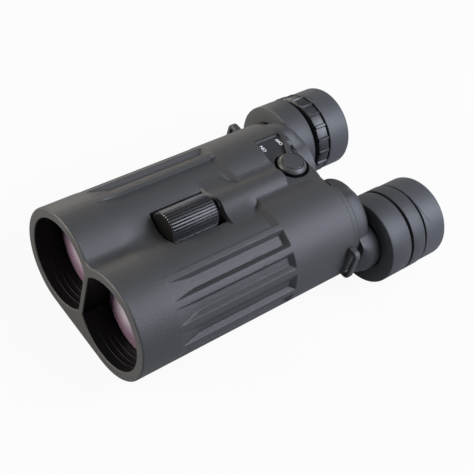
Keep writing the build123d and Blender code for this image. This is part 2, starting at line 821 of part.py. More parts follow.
def battery_contacts():
    """Make the two contact plates at the ends of the bay."""
    z = axis_z - battery_sink
    y0 = front + battery_front - door_margin + 0.1
    y1 = front + battery_front + battery_length + door_margin - 0.1
    parts = []
    for y in (y0, y1 - contact_thickness):
        plate = block(-5, 5, y, y + contact_thickness, z - 4.5, z + 5)
        parts.append(plate)
    stud = rod(0, z, 2.5, y0 + contact_thickness, front + battery_front - fit_gap)
    coil = pipe(0, z, 4.0, 2.6, front + battery_front + battery_length + fit_gap, y1 - contact_thickness)
    parts[0] = parts[0] + stud
    parts[1] = parts[1] + coil
    return Compound(children=parts)


def door_hinge_place():
    """Return the y and z of the battery door's hinge."""
    knuckle = door_pin_radius + door_knuckle_wall
    y = front + battery_front + battery_length + door_margin - door_clearance - knuckle
    return y, knuckle


def door_pin_shape(clear):
    """Make the door's hinge pin, enlarged by clear for its hole."""
    y, z = door_hinge_place()
    length = 2 * (door_half_width + door_pin_hold + clear)
    return Pos(0, y, z) * Rot(0, 90, 0) * Cylinder(door_pin_radius + clear, length)


def battery_door():
    """Make the battery door, flush with the floor, with its hinge barrel and finger notch."""
    y0 = front + battery_front - door_margin + door_clearance
    half = door_half_width - door_clearance
    hinge_y, hinge_z = door_hinge_place()
    door = block(-half, half, y0, hinge_y, 0, door_thickness)
    knuckle = Pos(0, hinge_y, hinge_z) * Rot(0, 90, 0) * Cylinder(hinge_z, 2 * half)
    door = door + knuckle
    door = door - block(-3.5, 3.5, y0 - 1, y0 + 1.6, -1, 0.7)
    return door - Pos(0, hinge_y, hinge_z) * Rot(0, 90, 0) * Cylinder(door_pin_radius + run_gap, 60)


def door_pin():
    """Make the battery door's hinge pin."""
    return door_pin_shape(0)


def control_board():
    """Make the stabiliser's circuit board with its main chips."""
    y0 = plate_front - board_from_plate - board_length
    z = axis_z - board_sink
    board = block(-board_half_width, board_half_width, y0, y0 + board_length, z, z + board_thickness)
    board = board - post(0, tripod_place(), tripod_bush_radius + 0.3, 0, 40)
    for x, size in ((-10.5, 5.0), (10.5, 6.0)):
        top = z + board_thickness
        board = board + block(x - size / 2, x + size / 2, y0 + 4, y0 + 4 + size, top, top + 1)
    return board


def tripod_bush():
    """Make the threaded brass bush in the floor."""
    y = tripod_place()
    high = bush_socket_depth + 1.5
    return post(0, y, tripod_bush_radius, 0, high) - post(0, y, bush_socket_radius, -1, bush_socket_depth)


def case_screws():
    """Make the four screws that hold the armour and the chassis together."""
    parts = []
    for x, y in screw_places():
        head = post(x, y, screw_head_radius, screw_recess, armour_wall - fit_gap)
        for width, depth in ((3.2, 0.7), (0.7, 3.2)):
            head = head - Pos(x, y, screw_recess) * Box(width, depth, 1.4)
        stem = post(x, y, screw_radius - fit_gap, armour_wall - fit_gap, armour_wall + 1.6)
        parts.append(head + stem)
    return Compound(children=parts)


# ---------------------------------------------------------------- the nodes
def both(name, shape):
    """Return a left piece and its mirrored right twin, as named nodes."""
    return {name + "_left": shape, name + "_right": other_side(shape)}


bell_piece, sleeve_piece = armour_pieces()
nodes = {
    "front_bell": bell_piece,
    "armour": sleeve_piece,
    "chassis": chassis(),
    "rear_plate": rear_plate(),
    "bridge": hump(),
    "focus_bush": focus_bush(),
    "focus_wheel": focus_wheel(),
    "focus_shaft": focus_shaft(),
    "focus_carriage": focus_carriage(),
    "switch_knob": switch_knob(),
    "switch_inlay": switch_inlay(),
    "switch_body": switch_body(),
    "dioptre_ring": dioptre_ring(),
    "eyepiece_ring": plain_ring(),
    "gimbal_mounts": gimbal_mounts(),
    "gimbal_frame": gimbal_frame(),
    "gimbal_carrier": gimbal_carrier(),
    "battery": battery(),
    "battery_contacts": battery_contacts(),
    "battery_door": battery_door(),
    "door_pin": door_pin(),
    "control_board": control_board(),
    "tripod_bush": tripod_bush(),
    "case_screws": case_screws(),
}
for name, make in (
    ("hood", hood), ("objective", objective), ("objective_cell", objective_cell), ("strap_lug", strap_lug),
    ("focus_lens", focus_lens), ("turret", neck), ("turret_retainer", turret_retainer),
    ("rhomboid", rhomboid), ("eyepiece_housing", housing), ("eyepiece_barrel", barrel),
    ("eye_lens", eye_lens), ("field_lens", field_lens), ("eyecup_sleeve", eyecup_sleeve),
    ("eyecup", eyecup), ("erecting_prism", erecting_prism),
):
    nodes.update(both(name, make()))

os.makedirs("parts", exist_ok=True)
for name, shape in nodes.items():
    export_step(shape, "parts/" + name + ".step")
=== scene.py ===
"""Looks of a compact image-stabilised binocular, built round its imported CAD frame.

Every piece is modelled in metres in the frame's own axes: the objectives face -Y, the eyepieces
+Y, +X is the user's left and Z is up. Sizes below are in millimetres and become metres in mm().
"""
from __future__ import annotations

import logging
import math
from dataclasses import dataclass, field
from enum import Enum
from typing import Callable, Sequence

import bmesh
import bpy
import numpy as np
from mathutils import Matrix, Vector

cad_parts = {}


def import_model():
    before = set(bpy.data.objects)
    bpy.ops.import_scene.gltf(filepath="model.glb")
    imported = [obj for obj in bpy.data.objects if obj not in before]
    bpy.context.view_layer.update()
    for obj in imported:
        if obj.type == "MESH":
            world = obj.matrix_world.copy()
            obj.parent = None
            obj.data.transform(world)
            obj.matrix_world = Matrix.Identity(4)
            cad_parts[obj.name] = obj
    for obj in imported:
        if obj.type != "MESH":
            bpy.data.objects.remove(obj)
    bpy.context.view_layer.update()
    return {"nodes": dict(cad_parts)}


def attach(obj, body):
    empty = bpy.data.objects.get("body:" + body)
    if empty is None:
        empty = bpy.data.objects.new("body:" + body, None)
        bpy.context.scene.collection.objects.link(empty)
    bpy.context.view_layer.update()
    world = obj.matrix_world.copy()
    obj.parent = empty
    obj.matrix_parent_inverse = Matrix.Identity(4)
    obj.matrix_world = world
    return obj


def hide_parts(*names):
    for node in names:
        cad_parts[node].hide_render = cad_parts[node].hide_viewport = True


log = logging.getLogger("binocular")

Point = tuple[float, float]


class Side(Enum):
    """The two halves of the instrument, as the sign of their X."""

    LEFT = 1
    RIGHT = -1

    @property
    def label(self) -> str:
        """Return the word that ends this side's names."""
        return self.name.lower()


class Slot(Enum):
    """The record's material slots, one passed with each new piece."""

    ARMOUR = "armour_rubber"
    HOOD = "hood_black"
    CUP = "cup_rubber"
    KNOB = "knob_plastic"
    GLASS = "coated_glass"


# ------------------------------------------------------------------ small tools


def mm(value: float) -> float:
    """Return millimetres as metres."""
    return value / 1000.0


def srgb(code: str) -> tuple[float, float, float, float]:
    """Turn an sRGB hex colour into linear values.

    Args:
        code: Six hex digits after a hash sign.

    Returns:
        Linear red, green, blue and an alpha of one.
    """
    parts = [int(code[i:i + 2], 16) / 255 for i in (1, 3, 5)]
    linear = [c / 12.92 if c <= 0.04045 else ((c + 0.055) / 1.055) ** 2.4 for c in parts]
    return (linear[0], linear[1], linear[2], 1.0)


def add_node(tree: bpy.types.NodeTree, kind: str, settings: dict | None = None,
             links: dict | None = None) -> bpy.types.Node:
    """Add one node with its settings and incoming links.

    Args:
        tree: Node tree that takes the node.
        kind: Blender's name of the node type.
        settings: Attribute names, or input names in square brackets, with their values.
        links: Input names with the output sockets that feed them.

    Returns:
        The new node.
    """
    node = tree.nodes.new(kind)
    for name, value in (settings or {}).items():
        if name.startswith("["):
            key = name[1:-1]
            node.inputs[int(key) if key.isdigit() else key].default_value = value
        else:
            setattr(node, name, value)
    for name, socket in (links or {}).items():
        tree.links.new(socket, node.inputs[int(name) if name.isdigit() else name])
    return node


def deselect() -> None:
    """Leave edit mode and clear the selection."""
    if bpy.context.object and bpy.context.object.mode != "OBJECT":
        bpy.ops.object.mode_set(mode="OBJECT")
    bpy.ops.object.select_all(action="DESELECT")


def take(piece: bpy.types.Object) -> bpy.types.Object:
    """Make one object the only selected and active one.

    Args:
        piece: The object.

    Returns:
        The same object.
    """
    deselect()
    piece.select_set(True)
    bpy.context.view_layer.objects.active = piece
    return piece


def named(piece: bpy.types.Object, name: str) -> bpy.types.Object:
    """Name an object and its mesh.

    Args:
        piece: The object.
        name: Its new name.

    Returns:
        The same object.
    """
    piece.name = name
    piece.data.name = name
    return piece


def settle(piece: bpy.types.Object) -> bpy.types.Object:
    """Put an object's place, turn and scale into its mesh.

    Args:
        piece: The object.

    Returns:
        The same object.
    """
    take(piece)
    bpy.ops.object.transform_apply(location=True, rotation=True, scale=True)
    return piece


def outward(piece: bpy.types.Object) -> bpy.types.Object:
    """Merge doubled points and turn every face outwards.

    Args:
        piece: The piece to work on.

    Returns:
        The same piece.
    """
    take(piece)
    bpy.ops.object.mode_set(mode="EDIT")
    bpy.ops.mesh.select_all(action="SELECT")
    bpy.ops.mesh.remove_doubles(threshold=mm(0.002))
    bpy.ops.mesh.normals_make_consistent(inside=False)
    bpy.ops.object.mode_set(mode="OBJECT")
    return piece


def apply_modifier(piece: bpy.types.Object, kind: str, **settings: object) -> bpy.types.Object:
    """Add one modifier with its settings and apply it.

    Args:
        piece: The piece to work on.
        kind: Blender's name of the modifier type.
        settings: The modifier's settings by name.

    Returns:
        The same piece.
    """
    take(piece)
    modifier = piece.modifiers.new(kind.title(), kind)
    for name, value in settings.items():
        setattr(modifier, name, value)
    bpy.ops.object.modifier_apply(modifier=modifier.name)
    return piece


def round_edges(piece: bpy.types.Object, width: float, segments: int = 3,
                angle: float = 38.0) -> bpy.types.Object:
    """Round the sharp edges of a piece by a width in millimetres."""
    return apply_modifier(piece, "BEVEL", width=mm(width), segments=segments, limit_method="ANGLE",
                          angle_limit=math.radians(angle), use_clamp_overlap=True, miter_outer="MITER_ARC")


def smooth(piece: bpy.types.Object, angle: float = 32.0) -> bpy.types.Object:
    """Shade a piece smooth, apart from its sharp edges.

    Args:
        piece: The piece to work on.
        angle: Edges that turn by more degrees than this stay sharp.

    Returns:
        The same piece.
    """
    take(piece)
    bpy.ops.object.shade_smooth_by_angle(angle=math.radians(angle))
    return piece


def cut(piece: bpy.types.Object, tool: bpy.types.Object,
        operation: str = "DIFFERENCE") -> bpy.types.Object:
    """Cut or join a piece with a tool, which is then removed.

    Args:
        piece: The piece to work on.
        tool: The solid that cuts or is joined.
        operation: DIFFERENCE or UNION.

    Returns:
        The same piece.
    """
    apply_modifier(piece, "BOOLEAN", operation=operation, object=tool, solver="MANIFOLD")
    bpy.data.objects.remove(tool)
    return piece


def box(low: Sequence[float], high: Sequence[float]) -> bpy.types.Object:
    """Add a box.

    Args:
        low: Its lowest corner in millimetres.
        high: Its highest corner in millimetres.

    Returns:
        The box.
    """
    deselect()
    centre = [mm((a + b) / 2) for a, b in zip(low, high)]
    bpy.ops.mesh.primitive_cube_add(size=1.0, location=centre)
    piece = bpy.context.object
    piece.scale = [mm(b - a) for a, b in zip(low, high)]
    return settle(piece)


def lengthwise_rod(x: float, z: float, radius: float, y0: float, y1: float,
                   vertices: int = 128) -> bpy.types.Object:
    """Add a cylinder along Y, its sizes in millimetres.

    Args:
        x: X of the axis.
        z: Z of the axis.
        radius: Its radius.
        y0: Its front end.
        y1: Its rear end.
        vertices: Points round the circle.

    Returns:
        The cylinder.
    """
    deselect()
    bpy.ops.mesh.primitive_cylinder_add(vertices=vertices, radius=mm(radius), depth=mm(y1 - y0),
                                        location=(mm(x), mm((y0 + y1) / 2), mm(z)),
                                        rotation=(math.radians(90), 0, 0))
    return settle(bpy.context.object)


def upright_rod(x: float, y: float, radius: float, z0: float, z1: float,
                vertices: int = 96) -> bpy.types.Object:
    """Add a cylinder along Z, its sizes in millimetres.

    Args:
        x: X of the axis.
        y: Y of the axis.
        radius: Its radius.
        z0: Its foot.
        z1: Its top.
        vertices: Points round the circle.

    Returns:
        The cylinder.
    """
    deselect()
    bpy.ops.mesh.primitive_cylinder_add(vertices=vertices, radius=mm(radius), depth=mm(z1 - z0),
                                        location=(mm(x), mm(y), mm((z0 + z1) / 2)))
    return settle(bpy.context.object)


def turned(profile: Sequence[Point], x: float, z: float, vertices: int = 128,
           swell: Callable[[float, float], float] | None = None) -> bpy.types.Object:
    """Turn a closed outline about a lengthwise axis, by extruding a circle from point to point.

    Args:
        profile: Radius and Y of each corner, in millimetres, in order round the section.
        x: X of the axis.
        z: Z of the axis.
        vertices: Points round the circle.
        swell: Gives the share of the radius at an angle and radius, for ribs and flutes.

    Returns:
        The turned piece, closed and facing outwards.
    """
    deselect()
    centre = Vector((mm(x), 0, mm(z)))
    radius, y = profile[0]
    bpy.ops.mesh.primitive_circle_add(vertices=vertices, radius=mm(radius), fill_type="NOTHING",
                                      location=(mm(x), mm(y), mm(z)), rotation=(math.radians(90), 0, 0))
    piece = settle(bpy.context.object)
    bpy.ops.object.mode_set(mode="EDIT")
    bpy.ops.mesh.select_all(action="SELECT")
    for (r0, y0), (r1, y1) in zip(profile, profile[1:]):
        bpy.ops.mesh.extrude_edges_move(TRANSFORM_OT_translate={"value": (0, mm(y1 - y0), 0)})
        if abs(r1 - r0) > 1e-6:
            share = r1 / r0
            bpy.ops.transform.resize(value=(share, 1, share), center_override=(centre.x, mm(y1), centre.z))
    bpy.ops.mesh.select_all(action="DESELECT")
    bpy.ops.object.mode_set(mode="OBJECT")
    total = vertices * len(profile)
    for index, vertex in enumerate(piece.data.vertices):
        vertex.select = index < vertices or index >= total - vertices
    bpy.ops.object.mode_set(mode="EDIT")
    bpy.ops.mesh.bridge_edge_loops()
    bpy.ops.object.mode_set(mode="OBJECT")
    if swell:
        swell_out(piece, x, z, swell)
    return outward(piece)


def swell_out(piece: bpy.types.Object, x: float, z: float, swell: Callable[[float, float], float]) -> None:
    """Scale each point's distance from a lengthwise axis.

    Args:
        piece: The piece to work on.
        x: X of the axis in millimetres.
        z: Z of the axis in millimetres.
        swell: Gives the scale at an angle in degrees and a radius in millimetres.
    """
    for vertex in piece.data.vertices:
        across, up = vertex.co.x - mm(x), vertex.co.z - mm(z)
        share = swell(math.degrees(math.atan2(up, across)), math.hypot(across, up) * 1000)
        vertex.co.x = mm(x) + across * share
        vertex.co.z = mm(z) + up * share


def plug(profile: Sequence[Point], x: float, z: float, vertices: int = 96,
         swell: Callable[[float, float], float] | None = None) -> bpy.types.Object:
    """Turn a solid whose outline starts and ends on its own axis, closed by flat fans.

    Args:
        profile: Radius and Y of each corner from one end to the other, in millimetres.
        x: X of the axis.
        z: Z of the axis.
        vertices: Points round the circle.
        swell: Gives the share of the radius at an angle and radius, for ribs and flutes.

    Returns:
        The closed solid.
    """
    deselect()
    radius, y = profile[0]
    bpy.ops.mesh.primitive_circle_add(vertices=vertices, radius=mm(radius), fill_type="NGON",
                                      location=(mm(x), mm(y), mm(z)), rotation=(math.radians(90), 0, 0))
    piece = settle(bpy.context.object)
    bpy.ops.object.mode_set(mode="EDIT")
    bpy.ops.mesh.select_all(action="SELECT")
    for (r0, y0), (r1, y1) in zip(profile, profile[1:]):
        bpy.ops.mesh.extrude_region_move(TRANSFORM_OT_translate={"value": (0, mm(y1 - y0), 0)})
        share = r1 / r0
        bpy.ops.transform.resize(value=(share, 1, share), center_override=(mm(x), mm(y1), mm(z)))
    bpy.ops.object.mode_set(mode="OBJECT")
    if swell:
        swell_out(piece, x, z, swell)
    return outward(piece)


def copy_of(nodes: dict[str, bpy.types.Object], node: str, name: str) -> bpy.types.Object:
    """Copy a CAD node's mesh into a new object, merged and with its flat faces rejoined.

    Args:
        nodes: CAD nodes by name.
        node: The node to copy.
        name: Name of the new piece.

    Returns:
        The new piece.
    """
    source = nodes[node]
    piece = bpy.data.objects.new(name, source.data.copy())
    bpy.context.scene.collection.objects.link(piece)
    piece.data.materials.clear()
    take(piece)
    bpy.ops.object.mode_set(mode="EDIT")
    bpy.ops.mesh.select_all(action="SELECT")
    bpy.ops.mesh.remove_doubles(threshold=mm(0.002))
    bpy.ops.mesh.dissolve_limited(angle_limit=math.radians(1.0))
    bpy.ops.object.mode_set(mode="OBJECT")
    return named(piece, name)


def lofted(loops: Sequence[Sequence[Sequence[float]]], name: str, ring: bool = False) -> bpy.types.Object:
    """Make a solid from outlines that no primitive has, laid one after another.

    Args:
        loops: Outlines with the same number of points, each point X, Y and Z in millimetres.
        name: Name of the piece.
        ring: Join the last outline to the first; otherwise both ends are closed by a flat face.

    Returns:
        The closed solid, facing outwards.
    """
    deselect()
    size = len(loops[0])
    points = [[mm(c) for c in point] for loop in loops for point in loop]
    spans = len(loops) if ring else len(loops) - 1
    faces: list[list[int]] = []
    for level in range(spans):
        here, there = level * size, (level + 1) % len(loops) * size
        faces += [[here + i, here + (i + 1) % size, there + (i + 1) % size, there + i] for i in range(size)]
    if not ring:
        faces += [list(range(size)), list(range((len(loops) - 1) * size, len(loops) * size))]
    mesh = bpy.data.meshes.new(name)
    mesh.from_pydata(points, [], faces)
    piece = bpy.data.objects.new(name, mesh)
    bpy.context.scene.collection.objects.link(piece)
    return outward(piece)


def arc(x: float, z: float, radius: float, start: float, end: float, count: int) -> list[Point]:
    """Return points of an arc, angles in degrees up from +X."""
    steps = [math.radians(start + (end - start) * i / count) for i in range(count + 1)]
    return [(x + radius * math.cos(a), z + radius * math.sin(a)) for a in steps]


def soft_max(a: np.ndarray | float, b: np.ndarray | float, reach: float | np.ndarray) -> np.ndarray:
    """Return the larger of two heights, with a fillet where they are within reach of each other."""
    near = np.maximum(reach - np.abs(np.subtract(a, b)), 0.0) / reach
    return np.maximum(a, b) + near * near * reach / 4


def soft_min(a: np.ndarray | float, b: np.ndarray | float, reach: float | np.ndarray) -> np.ndarray:
    """Return the smaller of two heights, rounded where they are within reach of each other."""
    return -soft_max(np.negative(a), np.negative(b), reach)


def ease(value: np.ndarray | float) -> np.ndarray:
    """Return a value held between 0 and 1 and eased at both ends."""
    held = np.clip(value, 0.0, 1.0)
    return held * held * (3 - 2 * held)


def stations(marks: Sequence[float], fine: float, gap: float,
             narrow: Sequence[tuple[float, float, float]] = ()) -> list[float]:
    """Lay grid lines beside every mark and fill the spaces between.

    Args:
        marks: Places of the edges, in order.
        fine: Distance of the two lines beside each mark.
        gap: Widest space left between lines.
        narrow: Start, end and widest space of stretches that need more lines.

    Returns:
        Places of all lines, in order.
    """
    lines = sorted({round(m + d, 4) for m in marks for d in (-fine, 0.0, fine)
                    if marks[0] <= m + d <= marks[-1]})
    full = [lines[0]]
    for a, b in zip(lines, lines[1:]):
        widest = min([gap] + [w for start, end, w in narrow if start <= (a + b) / 2 <= end])
        count = max(1, math.ceil((b - a) / widest - 1e-6))
        full += [a + (b - a) * (i + 1) / count for i in range(count)]
    return full


# ------------------------------------------------------------------ finishes


@dataclass(frozen=True)
class Moulded:
    """A moulded or turned surface of one colour with a fine grain.

    Attributes:
        name: Name of the material.
        colour: sRGB hex of the body colour.
        roughness: Width of the gloss.
        grain: Size of one grain in millimetres, or 0 for none.
        depth: Height of the grain in millimetres.
        metallic: 1 for bare metal.
        level: Specular level, for what isn't metal.
        painted_reflection: sRGB hex of a painted reflection, the paler colour near the middle of a front
            lens, or empty for none.
    """

    name: str
    colour: str
    roughness: float
    grain: float = 0.0
    depth: float = 0.0
    metallic: float = 0.0
    level: float = 0.5
    painted_reflection: str = ""

    def make(self) -> bpy.types.Material:
        """Build the material.

        Returns:
            The material, with its grain and painted reflection where it has them.
        """
        material = bpy.data.materials.new(self.name)
        material.use_nodes = True
        tree = material.node_tree
        shader = tree.nodes["Principled BSDF"]
        for key, value in (("Base Color", srgb(self.colour)), ("Roughness", self.roughness),
                           ("Metallic", self.metallic), ("Specular IOR Level", self.level)):
            shader.inputs[key].default_value = value
        if self.grain:
            place = add_node(tree, "ShaderNodeTexCoord")
            grain = add_node(tree, "ShaderNodeTexNoise", {"[Scale]": 1000.0 / self.grain, "[Detail]": 2.0},
                             {"Vector": place.outputs["Object"]})
            bump = add_node(tree, "ShaderNodeBump", {"[Strength]": 1.0, "[Distance]": mm(self.depth)},
                            {"Height": grain.outputs["Fac"]})
            tree.links.new(bump.outputs["Normal"], shader.inputs["Normal"])
        # Painted reflection: the lens colour pales towards each lens's middle.
        if self.painted_reflection:
            tree.links.new(self.glow(tree), shader.inputs["Base Color"])
        return material

    def glow(self, tree: bpy.types.NodeTree) -> bpy.types.NodeSocket:
        """Paint a reflection into the colour: it pales from a lens's edge to a spot near its middle, on both
        lenses alike.

        Args:
            tree: The material's node tree.

        Returns:
            The socket that gives the colour.
        """
        middle = (mm(AXIS_X - 1.5), 0.0, mm(AXIS_Z + 1.0))
        inner, outer = mm(3.0), mm(16.0)
        place = add_node(tree, "ShaderNodeTexCoord").outputs["Object"]
        for settings in ({"operation": "ABSOLUTE"}, {"operation": "SUBTRACT", "[1]": middle},
                         {"operation": "MULTIPLY", "[1]": (1.0, 0.0, 1.0)}):
            place = add_node(tree, "ShaderNodeVectorMath", settings, {"0": place}).outputs[0]
        reach = add_node(tree, "ShaderNodeVectorMath", {"operation": "LENGTH"}, {"0": place}).outputs["Value"]
        share = add_node(tree, "ShaderNodeMapRange",
                         {"interpolation_type": "SMOOTHSTEP", "[From Min]": inner, "[From Max]": outer},
                         {"Value": reach}).outputs[0]
        colours = {"data_type": "RGBA", "[6]": srgb(self.painted_reflection), "[7]": srgb(self.colour)}
        return add_node(tree, "ShaderNodeMix", colours, {"0": share}).outputs[2]


class Finish(Enum):
    """Every finish of the instrument."""

    # Natural rubber moulded in a spark-eroded tool: matt, with a fine grain that breaks up the highlights.
    ARMOUR = Moulded("armour_rubber_moulded", "#353535", 0.54, grain=0.9, depth=0.13, level=0.38)
    # Softer silicone-like rubber of the eyecups: a shade paler and bluer.
    CUP = Moulded("eyecup_rubber_moulded", "#3b3c3e", 0.52, grain=0.8, depth=0.07, level=0.45)
    # Glass-filled nylon of the turrets and eyepiece housings: like the armour, a little tighter.
    NYLON = Moulded("housing_nylon_moulded", "#353637", 0.52, grain=0.8, depth=0.08, level=0.38)
    # The same nylon in black, for the dioptre ring.
    RING = Moulded("ring_nylon_black", "#222325", 0.4, grain=0.5, depth=0.02, level=0.5)
    # Flocked black liner of the hoods: hardly any gloss.
    LINER = Moulded("hood_black_liner", "#090909", 0.45, level=0.2)
    # Hard black rubber of the ribbed wheel.
    WHEEL = Moulded("wheel_rubber_moulded", "#1d1d1e", 0.36, grain=0.3, depth=0.006, level=0.5)
    # ABS of the switch knob, moulded satin.
    KNOB = Moulded("knob_abs_satin", "#363637", 0.42, level=0.45)
    # Matt black moulding of the inner body, seen only in grooves and slots, and kept near black so that it
    # also paints the shade in them; the same black lies as painted shadow on the switch well's floor and as a
    # disc on the wheel's front face.
    INNER_AND_SHADE = Moulded("inner_moulding_and_painted_shade", "#090909", 0.7, level=0.1)
    # Black anodised aluminium barrels and rings.
    BARREL = Moulded("barrel_black_anodised", "#0a0a0b", 0.55, level=0.15)
    # Charcoal scale plate in the switch's pocket: darker than the armour, so that the words stand out.
    PLATE = Moulded("scale_plate_charcoal", "#2a2a2b", 0.6, grain=0.5, depth=0.02, level=0.3)
    # White silk-screen ink of the two switch words.
    INK = Moulded("mark_ink_white", "#e8e8e6", 0.5)
    # Fine line moulded into the eyecup: it reads as a dark hair line.
    LINE = Moulded("index_line_dark", "#0e0f10", 0.7, level=0.2)
    # Turned and zinc-plated steel of screws, pins and contacts.
    STEEL = Moulded("steel_zinc_plated", "#b4b4b2", 0.32, metallic=1.0)
    # Turned brass of the tripod bush.
    BRASS = Moulded("brass_turned", "#b9965a", 0.3, metallic=1.0)
    # Shrink sleeve of the round cell, plain.
    SLEEVE = Moulded("cell_sleeve_plain", "#6d7076", 0.35)
    # Solder-masked glass-fibre board.
    BOARD = Moulded("board_solder_mask", "#1d4a2e", 0.4)
    # Objective glass with a broadband coating, which throws back a dull mauve; a paler painted reflection
    # lies near each lens's middle.
    OBJECTIVE = Moulded("objective_coated_mauve", "#6a5566", 0.12, level=0.6, painted_reflection="#968e96")
    # Coated eye lens, dark with the barrel behind it.
    EYE_LENS = Moulded("eye_lens_coated_dark", "#1b1722", 0.05, level=0.9)
    # Prism glass, ground and blackened at its sides.
    PRISM = Moulded("prism_glass_ground", "#8d949a", 0.3)


class Palette:
    """The finishes made into materials, each one once."""

    def __init__(self) -> None:
        """Make every material."""
        self.made = {finish: finish.value.make() for finish in Finish}

    def paint(self, piece: bpy.types.Object, finish: Finish) -> bpy.types.Object:
        """Give a piece one finish all over.

        Args:
            piece: The piece.
            finish: What it is made of.

        Returns:
            The same piece.
        """
        piece.data.materials.clear()
        piece.data.materials.append(self.made[finish])
        return piece


NODE_FINISH = {
    Finish.ARMOUR: "armour front_bell bridge battery_door strap_lug_left strap_lug_right",
    Finish.NYLON: "turret_left turret_right eyepiece_housing_left eyepiece_housing_right eyepiece_ring "
                  "dioptre_ring",
    Finish.LINER: "hood_left hood_right objective_cell_left objective_cell_right",
    Finish.INNER_AND_SHADE: "chassis rear_plate gimbal_mounts gimbal_frame gimbal_carrier switch_body focus_carriage",
    Finish.BARREL: "eyepiece_barrel_left eyepiece_barrel_right eyecup_sleeve_left eyecup_sleeve_right "
                   "turret_retainer_left turret_retainer_right focus_bush focus_shaft",
    Finish.CUP: "eyecup_left eyecup_right",
    Finish.WHEEL: "focus_wheel",
    Finish.KNOB: "switch_knob switch_inlay",
    Finish.STEEL: "door_pin case_screws battery_contacts",
    Finish.BRASS: "tripod_bush",
    Finish.SLEEVE: "battery",
    Finish.BOARD: "control_board",
    Finish.OBJECTIVE: "objective_left objective_right",
    Finish.EYE_LENS: "eye_lens_left eye_lens_right",
    Finish.PRISM: "rhomboid_left rhomboid_right erecting_prism_left erecting_prism_right "
                  "field_lens_left field_lens_right focus_lens_left focus_lens_right",
}


# ------------------------------------------------------------------ the instrument

FRONT = -87.5       # Y of the front rim; lengths below are measured back from it
AXIS_X = 18.8       # each objective axis from the middle
AXIS_Z = 26.2       # height of the objective axes
TUBE = 26.2         # outside radius of each tube
EYE_X = 36.4        # each eyepiece axis from the middle
EYE_Z = 23.286      # height of the eyepiece axes
SWITCH_X = -3.2     # the power switch's axis
SWITCH_Y = 115.6    # the same, behind the front rim


@dataclass
class Builder:
    """What every sub-assembly needs to place its pieces.

    Attributes:
        nodes: CAD nodes by name.
        palette: The materials.
        built: Names of the finished pieces.
    """

    nodes: dict[str, bpy.types.Object]
    palette: Palette
    built: list[str] = field(default_factory=list)

    def place(self, piece: bpy.types.Object, name: str, body: str, slot: Slot, finish: Finish,
              nodes: Sequence[str] = ()) -> bpy.types.Object:
        """Name, paint and seat one finished piece.

        Args:
            piece: The finished piece.
            name: Its name.
            body: CAD body that it moves with.
            slot: Material slot of the record; not used.
            finish: What it is made of.
            nodes: CAD nodes that it stands for.

        Returns:
            The piece.
        """
        named(piece, name)
        self.palette.paint(piece, finish)
        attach(piece, body)
        if nodes:
            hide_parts(*nodes)
        self.built.append(name)
        log.info("%s: %d faces", name, len(piece.data.polygons))
        return piece


